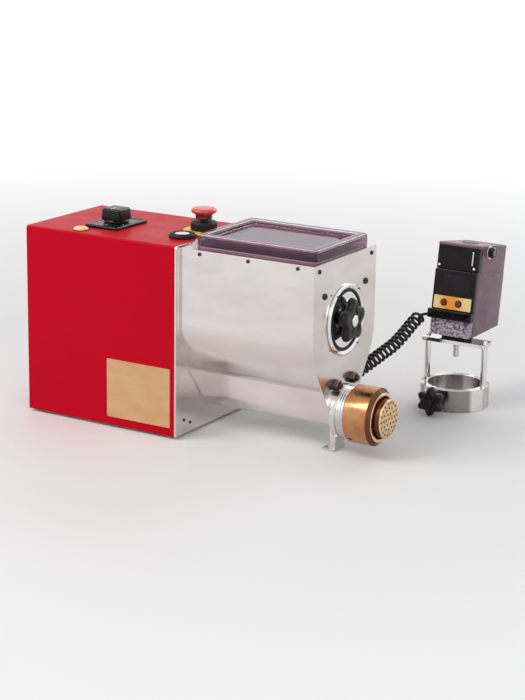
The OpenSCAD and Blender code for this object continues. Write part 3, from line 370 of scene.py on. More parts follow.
def moulded(name, colour, roughness, grain=0.00012, grain_scale=900, coat=0.0, shine=0.5):
    """A plastic or rubber with a fine grain and slightly paler patches."""
    f = Finish(name, colour, roughness, Coat_Weight=coat, Coat_Roughness=0.12,
               Specular_IOR_Level=shine)
    paler = tuple(min(1, c * 1.5 + 0.003) for c in colour)
    f.tint(f.ramp(f.noise(35, detail=4), 0.4, 0.8), paler)
    f.vary_roughness(f.noise(120, detail=4), roughness * 0.8, min(1, roughness * 1.25))
    return f.bump(f.noise(grain_scale, detail=2), grain, 0.5).made


def strip_plastic():
    """Orange between the two keys and pale cream towards both ends."""
    f = Finish("strip_amber", (0.84, 0.30, 0.02), 0.42)
    from_middle = f.apart("X", at(BOX_PLACE[0] + KEYS_X, 0, 0)[0])
    f.tint(f.ramp(from_middle, 0.006, 0.026), (0.88, 0.66, 0.28))
    f.tint(f.ramp(f.noise(60, detail=4), 0.45, 0.75, 0, 0.4), (0.80, 0.50, 0.12))
    return f.bump(f.noise(700, detail=2), 0.00005, 0.4).made


def mottled_foot():
    """The cover's rough foot: pale lilac patches on near black."""
    f = Finish("mottled_foot", (0.10, 0.085, 0.10), 0.6)
    f.tint(f.ramp(f.noise(230, detail=4), 0.42, 0.55), (0.50, 0.42, 0.50))
    return f.bump(f.noise(300, detail=3), 0.0003, 0.6).made


def clear_lid():
    """Clear plastic with a purple tint."""
    f = Finish("clear_lid", (0.44, 0.27, 0.36), 0.03, IOR=1.45, Transmission_Weight=0.97,
               Specular_Tint=(1, 0.8, 0.9, 1))
    f.tint(f.ramp(f.noise(14, detail=3), 0.4, 0.8), (0.38, 0.22, 0.31))
    return f.bump(f.noise(60, detail=1), 0.00005, 0.3).made


def plate_foil():
    f = Finish("plate_foil", (0.64, 0.36, 0.16), 0.42)
    f.tint(f.ramp(f.noise(22, (1, 1, 3), 5), 0.35, 0.75), (0.70, 0.44, 0.23))
    return f.bump(f.noise(600, detail=2), 0.00003, 0.4).made


FLOOR_HALF, FLOOR_GAP = 12, 0.0004
FADE_FROM, FADE_TO = 0.7, 2.2


def set_floor():
    """A pale table that goes over to plain white where no shadow falls."""
    f = Finish("table_top", (0.86, 0.855, 0.85), 0.6, Specular_IOR_Level=0.3)
    far = f.node("VectorMath", operation="LENGTH")
    f.link(f.places(), far.inputs[0])
    fade = f.node("Math", operation="MULTIPLY")
    f.link(f.ramp(far.outputs["Value"], FADE_FROM, FADE_TO), fade.inputs[0])
    f.link(background_rays(f.tree), fade.inputs[1])
    white = f.node("Emission", Strength=1.0)
    mix = f.node("MixShader")
    f.link(fade.outputs[0], mix.inputs[0])
    f.link(f.shader.outputs[0], mix.inputs[1])
    f.link(white.outputs[0], mix.inputs[2])
    f.link(mix.outputs[0], f.tree.nodes["Material Output"].inputs["Surface"])
    corners = [(x * FLOOR_HALF, y * FLOOR_HALF, 0)
               for x, y in ((-1, -1), (1, -1), (1, 1), (-1, 1))]
    mesh = bpy.data.meshes.new("table_top")
    mesh.from_pydata(corners, [], [(0, 1, 2, 3)])
    mesh.materials.append(f.made)
    floor = bpy.data.objects.new("table_top", mesh)
    floor.location.z = -FLOOR_GAP
    bpy.context.scene.collection.objects.link(floor)


set_camera()
set_light()
set_floor()

PAINT, SHEET, TURNED, CHROME = red_paint(), sheet_steel(), turned_steel(), chrome()
RING = ring_steel()
BRONZE, DIE = nose_bronze(), die_bronze()
BUSH = cast_metal("bush_bronze", (0.55, 0.36, 0.16), 0.35)
DRIVE = cast_metal("drive_steel", (0.40, 0.40, 0.41))
MOTOR = cast_metal("motor_grey", (0.16, 0.16, 0.17), 0.5)
ALU = cast_metal("cast_aluminium", (0.62, 0.62, 0.63), 0.4)
DARK = cast_metal("dark_screw", (0.075, 0.052, 0.05), 0.3)
SMOOTH = 0.00002, 400    # depth and scale of a grain that hardly shows
BLACK = moulded("black_plastic", (0.008, 0.007, 0.009), 0.5, shine=0.25)
GLOSS = moulded("gloss_black", (0.006, 0.005, 0.007), 0.24, 0.00003, 500, 0.12, 0.2)
PLUM = moulded("box_shell", (0.15, 0.072, 0.098), 0.34, 0.00008, 700, 0.2, 0.3)
RED = moulded("stop_red", (0.60, 0.03, 0.035), 0.26, *SMOOTH, 0.5)
# The stop head's red, darkened as painted shade for its neck
STOP_RED_IN_PAINTED_SHADE = moulded("stop_red_painted_shade", (0.11, 0.008, 0.012), 0.3, *SMOOTH, 0.3)
KEY = moulded("key_brown_red", (0.12, 0.014, 0.009), 0.3, *SMOOTH, 0.3)
YELLOW = moulded("disc_yellow", (0.86, 0.56, 0.02), 0.4)
AMBER, FOOT = strip_plastic(), mottled_foot()
WHITE = moulded("start_white", (0.80, 0.78, 0.72), 0.3, *SMOOTH, 0.3)
LAMP = moulded("lamp_cream", (0.90, 0.56, 0.20), 0.25, 0.00002, 300, 0.5)
CAP = moulded("cap_grey", (0.21, 0.17, 0.19), 0.4)
RUBBER = moulded("foot_rubber", (0.02, 0.019, 0.02), 0.7)
CORD = moulded("cord_rubber", (0.007, 0.006, 0.008), 0.36, 0.00006, 1500, shine=0.3)
CAN = moulded("capacitor_can", (0.66, 0.66, 0.62), 0.5)
LID = clear_lid()
# Pale plastic for the lid's painted edge highlights
LID_EDGE_HIGHLIGHT = moulded("lid_edge_highlight", (0.94, 0.90, 0.92), 0.25, *SMOOTH, 0.3)
FOIL = plate_foil()

FINISHES = {
    PAINT: ["casing_shell", "rear_panel"],
    SHEET: ["front_panel", "base_plate", "tank", "tank_rear_plate", "tank_front_plate",
            "tank_rim", "support_leg"],
    TURNED: ["hinge_bracket", "hinge_pin", "lid_leaf", "barrel", "mixer_shaft",
             "mixer_paddles", "auger", "knife_shaft"],
    CHROME: ["rear_screws", "bearing_flange", "guide_rods", "bridge_bar"],
    RING: ["clamp_ring"],
    BRONZE: ["ring_nut"],
    DIE: ["die"],
    BUSH: ["mixer_bush", "auger_bush"],
    DRIVE: ["mixer_gear", "auger_gear", "idler_gear", "drive_pinion"],
    MOTOR: ["gear_motor", "cutter_motor"],
    ALU: ["drive_frame"],
    DARK: ["rim_screws", "barrel_bolts", "flange_screws"],
    BLACK: ["power_inlet", "stop_base", "start_bezel", "cord_socket", "cord_plug"],
    GLOSS: ["lobed_knob", "switch_plate", "switch_knob", "clamp_knob", "cutter_face",
            "speed_knob"],
    PLUM: ["cutter_box"],
    RED: ["stop_button"],
    KEY: ["key_left", "key_right"],
    YELLOW: ["stop_disc"],
    AMBER: ["button_strip"],
    WHITE: ["start_button"],
    LAMP: ["pilot_lamp"],
    RUBBER: ["feet"],
    CORD: ["curly_cord"],
    CAN: ["capacitor"],
    LID: ["lid"],
    FOIL: ["data_plate"],
}
for finish, names in FINISHES.items():
    for name in names:
        nodes[name].data.materials.clear()
        nodes[name].data.materials.append(finish)


# ---- making surfaces

SAME = 1e-6         # two points of a line closer than this are one point
AXIS_HOLE = 0.02    # the least radius of a lathe shape's outlines


def link_mesh(name, skins, finish, body, sharp=32, replaces=(), slot=None):
    """Puts one or more skins, each its points and faces, into a piece that rides on a body."""
    points = np.vstack([corners for corners, _ in skins])
    faces, first = [], 0
    for corners, flats in skins:
        faces += [[k + first for k in flat] for flat in flats]
        first += len(corners)
    mesh = bpy.data.meshes.new(name)
    mesh.from_pydata(points.tolist(), [], faces)
    mesh.materials.append(finish)
    mesh.shade_smooth()
    mesh.set_sharp_from_angle(angle=math.radians(sharp))
    piece = bpy.data.objects.new(name, mesh)
    bpy.context.scene.collection.objects.link(piece)
    if body is not None:
        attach(piece, body)
    if replaces:
        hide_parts(*replaces)
    return piece


def skin(rings, bored=False):
    """The closed surface over a pile of outlines, where rings[i, j] is corner j of outline i:
    quads from each outline to the next, and a flat cap at each end. A bored one has no caps:
    its last outline joins its first. The faces point outward, so six times the volume, the
    sum of a . (b x c), is positive."""
    rings = np.asarray(rings, float)
    levels, count = rings.shape[:2]
    points = rings.reshape(-1, 3)
    i, j = np.meshgrid(np.arange(levels if bored else levels - 1), np.arange(count),
                       indexing="ij")
    a, b = i * count + j, i * count + (j + 1) % count
    after = (i + 1) % levels * count
    quads = np.stack([a, b, after + (j + 1) % count, after + j], axis=-1)
    faces = quads.reshape(-1, 4).tolist()
    if not bored:
        faces.append(list(range(count))[::-1])
        faces.append([(levels - 1) * count + k for k in range(count)])
    fans = np.array([(f[0], f[k], f[k + 1]) for f in faces for k in range(1, len(f) - 1)])
    a, b, c = (points[fans[:, k]] - points[0] for k in range(3))
    if np.einsum("ij,ij->", a, np.cross(b, c)) < 0:
        faces = [f[::-1] for f in faces]
    return points, faces


def stack(name, rings, finish, body, bored=False, **more):
    """A piece of one skin."""
    return link_mesh(name, [skin(rings, bored)], finish, body, **more)


def soften(corners, reach, steps=4):
    """Replaces each inner corner of a line by a small curve: a quadratic arc between the two
    points that lie reach away from the corner, or a half side where that is shorter."""
    p = np.asarray(corners, float)
    back, on = p[:-2] - p[1:-1], p[2:] - p[1:-1]
    back_len, on_len = (np.linalg.norm(side, axis=1) for side in (back, on))
    start = p[1:-1] + back * np.minimum(reach / back_len, 0.5)[:, None]
    end = p[1:-1] + on * np.minimum(reach / on_len, 0.5)[:, None]
    t = np.linspace(0, 1, steps + 1)[None, :, None]
    arcs = ((1 - t) ** 2 * start[:, None] + 2 * t * (1 - t) * p[1:-1, None]
            + t ** 2 * end[:, None])
    line = np.vstack([p[:1], arcs.reshape(-1, 2), p[-1:]])
    apart = np.linalg.norm(np.diff(line, axis=0), axis=1)
    return line[np.append(True, apart > SAME)]


def taper(start, end, steps=8):
    """Points along a straight stretch of a profile, close enough for a ripple to show."""
    return [tuple(point) for point in np.linspace(start, end, steps + 1)]


def between(d, start, end):
    return (d > start) & (d < end)


def lathe(profile, centre, axis, reach=0.4, sides=72, ripple=None):
    """Outlines of a lathe shape. The profile is (radius, distance along the axis), its corners
    softened, and each point goes round the axis: centre + d axis + r (cos a u + sin a v), at
    distance d, radius r and angle a. A ripple(a, r, d) gives another radius."""
    line = soften(profile, reach)
    axis = np.asarray(axis, float) / np.linalg.norm(axis)
    u = np.cross(axis, UP if abs(axis[2]) < 0.9 else FORWARD)
    u /= np.linalg.norm(u)
    v = np.cross(axis, u)
    a = np.linspace(0, 2 * np.pi, sides, endpoint=False)
    r = np.maximum(line[:, :1], AXIS_HOLE) * np.ones(sides)
    if ripple is not None:
        r = ripple(a[None, :], r, line[:, 1:])
    spokes = np.cos(a)[:, None] * u + np.sin(a)[:, None] * v
    return np.asarray(centre) + (line[:, 1:, None] * axis + r[:, :, None] * spokes) * MM


def turned(name, profile, centre, axis, finish, body, reach=0.4, sides=72, ripple=None,
           **more):
    """A piece of one lathe shape."""
    rings = lathe(profile, centre, axis, reach, sides, ripple)
    return stack(name, rings, finish, body, **more)


def rounded(length, width, r, steps=7, least=0.05):
    """A rectangle's outline with round corners: four arcs, counterclockwise."""
    r = max(r, least)
    a = np.linspace(0, np.pi / 2, steps)
    turns = np.arange(4) * np.pi / 2
    cx = np.array([1, -1, -1, 1])[:, None] * (length / 2 - r)
    cy = np.array([1, 1, -1, -1])[:, None] * (width / 2 - r)
    angle = turns[:, None] + a
    return np.stack([cx + r * np.cos(angle), cy + r * np.sin(angle)], -1).reshape(-1, 2)


def drawn(outline, line):
    """Outlines at the points of a line of (inset, height): outline(inset) gives the plane
    shape drawn in by that much."""
    flats = [(outline(inset), height) for inset, height in line]
    return np.stack([np.column_stack([flat, np.full(len(flat), height)])
                     for flat, height in flats])


def pile(outline, profile, reach=0.5):
    """Drawn-in outlines along a profile with softened corners."""
    return drawn(outline, soften(profile, reach))


def block(length, width, corner, profile, reach=0.5, least=0.3):
    """A rounded rectangle's pile: each outline is drawn in by the inset, its corners with it."""
    return pile(lambda i: rounded(length - 2 * i, width - 2 * i, max(corner - i, least)),
                profile, reach)


def placed(rings, place, x=FORWARD, y=ACROSS, z=UP):
    """Millimetre rings turned so that their axes lie along x, y and z, and put at place."""
    return np.asarray(place) + rings @ np.array([x, y, z], float) * MM


# ---- curly cord

CORD_D, COIL_D, CURLS = 5, 23.5, 36
# Each end has a straight tail and then an arc that opens into the curls: the length of both
# along the route, and the arc's turn and lean. The curls' distance spreads towards the box
TAIL, OPEN, SPREAD = CORD_D + 1, 10, 0.15
OPEN_TURN, OPEN_LEAN = math.radians(115), math.radians(80)
PLUG_END = np.array([313, 87, 44.0])
GLAND_END = np.array([503.7, 312.48, 146.33])
# The same points as in the CAD's route, from the plug to the gland on the motor box
ROUTE = np.array([PLUG_END, PLUG_END + (9, 0.5, -0.5), (334, 90, 40), (352, 96, 36),
                  (372, 100, 34), (396, 105, 35), (420, 114, 40), (442, 130, 58),
                  (458, 152, 75), (469, 180, 88), (476, 208, 98), (482, 235, 107),
                  (487, 262, 121), (490, 286, 134), GLAND_END + (-9, -7, -3), GLAND_END])


def unit(v):
    return v / np.linalg.norm(v, axis=-1, keepdims=True)


def route_line(per_span=12):
    """A smooth curve through the route's points: each span is a cubic whose end slopes are
    half the way between the neighbouring points."""
    p = np.vstack([ROUTE[:1], ROUTE, ROUTE[-1:]])
    p0, p1, p2, p3 = (p[k:len(p) - 3 + k, None] for k in range(4))
    t = (np.arange(per_span) / per_span)[None, :, None]
    line = 0.5 * (2 * p1 + (p2 - p0) * t + (2 * p0 - 5 * p1 + 4 * p2 - p3) * t ** 2
                  + (3 * p1 - p0 - 3 * p2 + p3) * t ** 3)
    return np.vstack([line.reshape(-1, 3), ROUTE[-1:]])


def cord_end(steps=12):
    """A straight end of one cord diameter, and the arc that opens into the curls: the distance
    along the route, the angle round it and the share of the coil's radius."""
    t = np.arange(1, steps + 1) / steps
    straight = np.linspace(0, TAIL, 4)
    s = TAIL + OPEN * np.sin(OPEN_LEAN * t) / math.sin(OPEN_LEAN)
    a = OPEN_TURN * (1 - np.cos(OPEN_LEAN * t)) / (1 - math.cos(OPEN_LEAN))
    return (np.concatenate([straight, s]), np.concatenate([0 * straight, a]),
            np.concatenate([0 * straight, t * t * (2 - t * t)]))


def curly_cord(plug, per_curl=18, sides=12, slope_reach=2):
    """A helix round the route: centre(s) + r(s) (cos a side + sin a up), opened by an arc at
    both ends, and a round tube carried along it."""
    line = route_line()
    run = np.concatenate([[0], np.cumsum(np.linalg.norm(np.diff(line, axis=0), axis=1))])
    whole = run[-1]

    def on_route(s):
        return np.stack([np.interp(s, run, line[:, k]) for k in range(3)], -1)

    end_s, end_a, end_r = cord_end()
    all_turns = 2 * np.pi * CURLS
    turns = all_turns - 2 * OPEN_TURN
    u = np.linspace(0, 1, round(per_curl * turns / (2 * np.pi)) + 1)[1:-1]
    coil_s = TAIL + OPEN + (whole - 2 * (TAIL + OPEN)) * (u + SPREAD * u * u) / (1 + SPREAD)
    s = np.concatenate([end_s, coil_s, whole - end_s[::-1]])
    a = np.concatenate([end_a, OPEN_TURN + turns * u, all_turns - end_a[::-1]])
    r = (COIL_D - CORD_D) / 2 * np.concatenate([end_r, np.ones(len(u)), end_r[::-1]])
    along = unit(on_route(np.minimum(s + slope_reach, whole))
                 - on_route(np.maximum(s - slope_reach, 0)))
    side = unit(np.cross(UP, along))
    out = np.cos(a)[:, None] * side + np.sin(a)[:, None] * np.cross(along, side)
    path = on_route(s) + r[:, None] * out
    ahead = unit(np.gradient(path, axis=0))
    ahead[[0, -1]] = FORWARD
    n = unit(out - (out * ahead).sum(1, keepdims=True) * ahead)
    b = np.cross(ahead, n)
    around = np.linspace(0, 2 * np.pi, sides, endpoint=False)[None, :, None]
    spokes = np.cos(around) * n[:, None] + np.sin(around) * b[:, None]
    tube = path[:, None] + CORD_D / 2 * spokes
    path = ORIGIN + path * MM
    piece = stack("curly_cord_tube", ORIGIN + tube * MM, CORD, None, sharp=80,
                  replaces=["curly_cord"], slot="cord_rubber")
    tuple(path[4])
    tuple(path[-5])
    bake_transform(piece)
    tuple(path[0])


def plug_and_socket():
    """A square socket with four screws, and a ribbed plug that narrows to the cord. Returns
    the plug."""
    rear, front = mm(low("cord_socket"))[0], mm(high("cord_socket"))[0]
    _, y, z = mm(middle("cord_socket"))
    width, screw_apart, rib_pitch = 26, 9.6, 2.4
    plate = block(width, width, 3, [(12, 0.02), (0, 0.02), (0, 2.6), (1.4, 4), (12, 4)],
                  [0.2, 0.8, 0.8])
    stack("socket_plate", placed(plate, at(rear, y, z), ACROSS, UP, FORWARD), BLACK, MACHINE,
          replaces=["cord_socket"], slot="black_plastic")
    screw = [(0, 0), (1.6, 0), (1.6, 0.5), (1.1, 0.9), (0, 0.9)]
    screws = [skin(lathe(screw, at(front, y + screw_apart * s, z + screw_apart * u), FORWARD,
                         0.2, 20)) for s in (-1, 1) for u in (-1, 1)]
    link_mesh("socket_screws", screws, CHROME, MACHINE)

    def ribs(a, r, d):
        grip = 0.5 * (np.cos(20 * a) > 0.2) * between(d, 4, 12.5)
        return r - grip + 0.5 * np.cos(2 * np.pi * d / rib_pitch) * between(d, 16.5, 25)

    profile = [(0, 0.02), (9, 0.02), (9, 3), (9, 8.5), (9, 14), *taper((7, 16), (4, 26)),
               (0, 26)]
    return turned("cord_plug_body", profile, at(front, y, z), FORWARD, BLACK, MACHINE, 0.5,
                  80, ribs, replaces=["cord_plug"], slot="black_plastic")


# ---- tank, lid and front

def make_lid():
    """The tinted tray: under its middle, up inside the hollow border, down the inner wall,
    round the lower edge, up outside, over the border and down into the recess."""
    length, width, top = extent("lid")
    wall, border, recess, to_middle = 4, 13, 7, 44
    corner, least_corner = 7, 4
    floor, hollow = top - recess, border - wall
    x, y, _ = middle("lid")
    place = np.array((x, y, low("lid")[2]))

    def outline(inset):
        return rounded(length - 2 * inset, width - 2 * inset, max(corner - inset, least_corner))

    profile = [(to_middle, floor - wall), (hollow, floor - wall), (hollow, top - wall),
               (wall, top - wall), (wall, 0), (0, 0), (0, top), (border, top),
               (border, floor), (to_middle, floor)]
    line = soften(profile, [1, 1, 1, 0.7, 0.7, 2.6, 2.2, 1.6], 5)
    stack("lid_tray", placed(drawn(outline, line), place), LID, "lid", replaces=["lid"],
          slot="lid_clear")
    # A pale bead of this radius lies in each moulded edge as a painted highlight
    bead = 1
    around = np.linspace(0, 2 * np.pi, 8, endpoint=False)
    ring = bead * np.column_stack([np.cos(around), np.sin(around)])
    edges = (1.3, top - 1.3), (border - 1.15, top - 1.15), (1.1, 1.1)
    beads = [skin(placed(drawn(outline, edge + ring), place), bored=True) for edge in edges]
    link_mesh("lid_edge_highlights", beads, LID_EDGE_HIGHLIGHT, "lid")


def lobed(radius, lobes, steps=12, wave=0.14):
    """A knob's outline: radius times (1 - wave + wave cos(lobes a)), drawn in by the inset."""
    a = np.linspace(0, 2 * np.pi, lobes * steps, endpoint=False)
    r = radius * (1 - wave + wave * np.cos(lobes * (a - np.pi / 2)))
    return lambda inset: np.column_stack([np.cos(a), np.sin(a)]) * (r - inset)[:, None]


def star_knob(name, radius, lobes, depth, place, x, y, z, body, replaces, cap=CHROME):
    """A lobed grip with a dished front, a round boss behind it and a cap in its middle."""
    profile = [(radius * 0.45, 0), (3, 0), (0, 3), (0, depth - 4), (3.5, depth),
               (radius * 0.38, depth), (radius * 0.42, depth - 1.5),
               (radius * 0.62, depth - 1.5)]
    rings = pile(lobed(radius, lobes), profile, [1, 1.5, 2, 2.5, 1, 1])
    stack(name, placed(rings, place, x, y, z), GLOSS, body, replaces=replaces,
          slot="gloss_black")
    dome = [(0, depth - 2), (radius * 0.26, depth - 2), (radius * 0.26, depth + 0.5),
            (radius * 0.16, depth + 1.6), (0, depth + 1.6)]
    turned(name + "_cap", dome, place, z, cap, body, 0.6, 40)


def front_bearing():
    """The dished flange, with a rolled edge, a drawn-in ring and a raised middle, and the
    knob in front of it."""
    centre = at(TANK_FRONT, 0, MIXER_Z)
    dish = [(0, 0.1), (55, 0.1), (55, 3.4), (53.4, 5), (51, 5), (46, 2), (30, 2), (24, 4.4),
            (19, 6), (0, 6)]
    turned("bearing_dish", dish, centre, FORWARD, CHROME, MACHINE, 1.6, 96,
           replaces=["bearing_flange"], slot="bright_chrome")
    # This black ring inside the rolled edge is a painted dark reflection
    dark_reflection_ring = [(42.5, 1.8), (47.5, 1.8), (47.5, 3.2), (46, 3.8), (44, 3.8), (42.5, 3.2)]
    turned("bearing_painted_reflection", dark_reflection_ring, centre, FORWARD, BLACK, MACHINE, 0.3, 96, bored=True)
    sleeve = [(0, -22), (16, -22), (16, 0.2), (0, 0.2)]
    turned("bearing_sleeve", sleeve, centre, FORWARD, TURNED, MACHINE, 0.6)
    knob_gap = 6.3
    star_knob("front_star", 35, 5, 12, at(TANK_FRONT + knob_gap, 0, MIXER_Z), ACROSS, UP,
              FORWARD, "front_knob", ["lobed_knob"])


def screw_head(radius, height, place, axis, sides=36):
    """The skin of a pan head with a round socket: to the edge, over it, into the socket."""
    profile = [(0, 0), (radius, 0), (radius, height * 0.55), (radius * 0.7, height),
               (radius * 0.42, height), (radius * 0.4, height * 0.45), (0, height * 0.45)]
    return skin(lathe(profile, place, axis, radius * 0.16, sides))


def tank_screws():
    """Three screws along each side of the rim, one at each front corner, two on the end
    plate, four small rivets on the bearing's rolled edge, and four screws below on the
    casing's front panel."""
    rim_z, corner_y, corner_z = 296.3, 80.3, 292.3
    heads = [screw_head(3, 2, at(CASING_FRONT + x, side * TANK_SIDE, rim_z), (0, side, 0))
             for x in (37, 122, 207) for side in (-1, 1)]
    heads += [screw_head(3.5, 2, at(TANK_FRONT, side * corner_y, corner_z), FORWARD)
              for side in (-1, 1)]
    link_mesh("rim_screw_heads", heads, DARK, MACHINE, replaces=["rim_screws"],
              slot="dark_screw")
    plate_y, plate_z = 63, 252
    heads = [screw_head(5, 3, at(TANK_FRONT, side * plate_y, plate_z), FORWARD)
             for side in (-1, 1)]
    rivet = [(0, -0.4), (1.4, -0.4), (1.4, 1.2), (0.8, 1.9), (0, 2)]
    edge_x, edge_r = TANK_FRONT + 5, 53.5
    for angle in (52, 128, 232, 308):
        a = math.radians(angle)
        place = at(edge_x, edge_r * math.cos(a), MIXER_Z + edge_r * math.sin(a))
        heads.append(skin(lathe(rivet, place, FORWARD, 0.3, 20)))
    link_mesh("plate_screw_heads", heads, DARK, MACHINE, replaces=["flange_screws"],
              slot="dark_screw")
    panel_screws = (79.3, 26.3), (62.2, 18.6)
    heads = [screw_head(2.6, 1.4, at(CASING_FRONT, side * y, z), FORWARD)
             for side in (-1, 1) for y, z in panel_screws]
    link_mesh("panel_screw_heads", heads, DARK, MACHINE)


def hexagon(radius):
    """A hexagon's outline, drawn in by the inset."""
    a = np.arange(6) * np.pi / 3
    return lambda inset: np.column_stack([np.cos(a), np.sin(a)]) * (radius - inset)


def nose():
    """The barrel's collar and thread, cut by a helix, and two hexagon nuts on washers above
    it. The thread lies in front of the collar and outside the bore."""
    pitch, depth, bore_r, bolt_y, bolt_up = 4, 0.9, 24.6, 26, 46.76

    def thread(a, r, d):
        wave = 0.5 + 0.5 * np.cos(2 * np.pi * d / pitch - a)
        return r - depth * wave * (d > 9) * (r > 35)

    profile = [(bore_r, 0.02), (42, 0.02), (42, 8), (40, 8),
               *taper((40, 8.75), (40, 51.5), 57), (40, 52.4), (bore_r, 52.4)]
    turned("barrel_thread", profile, at(TANK_FRONT, 0, NOSE_Z), FORWARD, TURNED, MACHINE, 0.3,
           96, thread, bored=True, replaces=["barrel"], slot="steel_turned")
    washer = [(0, 0.02), (9, 0.02), (9, 1.2), (8.4, 1.7), (0, 1.7)]
    nut = pile(hexagon(8.9), [(5, 1.6), (0, 1.6), (0, 7.4), (1.3, 9), (5, 9)], 0.2)
    stud = [(0, 8), (4.5, 8), (4.5, 12.2), (3.6, 13), (0, 13)]
    parts = []
    for side in (-1, 1):
        place = at(TANK_FRONT, side * bolt_y, NOSE_Z + bolt_up)
        parts.append(skin(lathe(washer, place, FORWARD, 0.4, 48)))
        parts.append(skin(placed(nut, place, ACROSS, UP, FORWARD)))
        parts.append(skin(lathe(stud, place, FORWARD, 0.3, 36)))
    link_mesh("barrel_nuts", parts, DARK, MACHINE, replaces=["barrel_bolts"],
              slot="dark_screw")


# ---- casing

def casing_fittings():
    """The plate with its pressed border, four screws at the back and four grooved feet."""
    length, _, height = extent("data_plate")
    x, _, z = mm(middle("data_plate"))
    y = mm(high("data_plate"))[1]
    profile = [(40, 0.02), (0, 0.02), (0, 0.6), (0.3, 0.8), (2.4, 0.8), (2.9, 0.55),
               (40, 0.55)]
    plate = block(length, height, 2, profile, 0.15)
    stack("plate_blank", placed(plate, at(x, y, z), FORWARD, UP, SIDEWARD), FOIL, MACHINE,
          replaces=["data_plate"], slot="plate_tan")
    rear_y, rear_heights = 90.5, (20, 284)
    heads = [screw_head(3.5, 2, at(0, side * rear_y, z), REARWARD)
             for side in (-1, 1) for z in rear_heights]
    link_mesh("rear_screw_heads", heads, CHROME, MACHINE, replaces=["rear_screws"],
              slot="bright_chrome")
    foot_y, foot_places = 76.5, (26, 254)
    foot = [(0, 0), (10.4, 0), (11, 0.6), (11, 1.3), (11, 1.5), (11, 2.3), (11, 2.5),
            (11, 3.98), (0, 3.98)]
    feet = [skin(lathe(foot, at(x, side * foot_y, 0), UP, 0.1, 48,
                       lambda a, r, d: r - 0.5 * between(d, 1.4, 2.4)))
            for side in (-1, 1) for x in foot_places]
    link_mesh("rubber_feet", feet, RUBBER, MACHINE, replaces=["feet"], slot="foot_rubber")


# ---- controls on the casing's top
# Here a profile's distance along the axis is a height above the table

def below(node):
    """The place on the table under a node's middle."""
    x, y, _ = mm(middle(node))
    return at(x, y, 0)


def stop_switch():
    """Mushroom head on a ribbed black collar; the head has a flared neck and a dome, and its
    neck is painted darker as shade under the dome.
    """
    place = below("stop_base")
    head = [(0, 331.4), (14, 331.4), (19, 333.6), (20.5, 336), (20, 338.6), (17, 340.8),
            (9, 341.3), (0, 341.4)]
    turned("stop_head", head, place, UP, RED, "stop", 1.6, 72, replaces=["stop_button"],
           slot="button_red")
    neck = [(0, 318), (5.9, 318), (5.9, 323.8), (12.6, 323.8), (13.4, 324.7), (13.2, 329),
            (14.4, 331.6), (0, 331.6)]
    # Painted shade: the neck is the head's red, darkened under the dome
    turned("stop_neck", neck, place, UP, STOP_RED_IN_PAINTED_SHADE, "stop", 0.6, 60)
    collar = [(0, 306.05), (21, 306.05), (21, 317), (18.5, 320), (6.3, 320), (6.2, 312),
              (0, 312)]
    turned("stop_collar", collar, place, UP, BLACK, MACHINE, 1.2, 160,
           lambda a, r, d: r - 0.35 * (np.cos(40 * a) > 0) * between(d, 308.5, 316),
           replaces=["stop_base"], slot="black_plastic")


def start_switch():
    """A domed cap with a shallow dish in a round bezel."""
    place = below("start_bezel")
    cap = [(0, 302.4), (12.4, 302.4), (12.4, 308.4), (11.6, 309.9), (10, 310.4),
           (7, 310.1), (0, 309.9)]
    turned("start_cap", cap, place, UP, WHITE, "start", 0.8, 56, replaces=["start_button"],
           slot="white_plastic")
    bezel = [(0, 304.02), (21, 304.02), (21, 307.4), (18, 311), (13.6, 311), (12.9, 309.5),
             (12.9, 305), (0, 305)]
    turned("start_ring", bezel, place, UP, BLACK, MACHINE, 1.0, 72,
           replaces=["start_bezel"], slot="black_plastic")


def lamp():
    """A low lens with rays pressed into it, on a thin black washer."""
    place = below("pilot_lamp")
    lens = [(0, 304.1), (12.4, 304.1), (12.2, 305.8), (9.6, 308), (5, 308.9), (0, 309)]
    turned("lamp_lens", lens, place, UP, LAMP, MACHINE, 1.4, 96,
           lambda a, r, d: r - 0.12 * np.cos(24 * a) * (d > 304.8),
           replaces=["pilot_lamp"], slot="lamp_amber")
    washer = [(12.2, 304.02), (13, 304.02), (13, 304.7), (12.7, 305), (12.2, 305)]
    turned("lamp_washer", washer, place, UP, BLACK, MACHINE, 0.1, 64, bored=True)


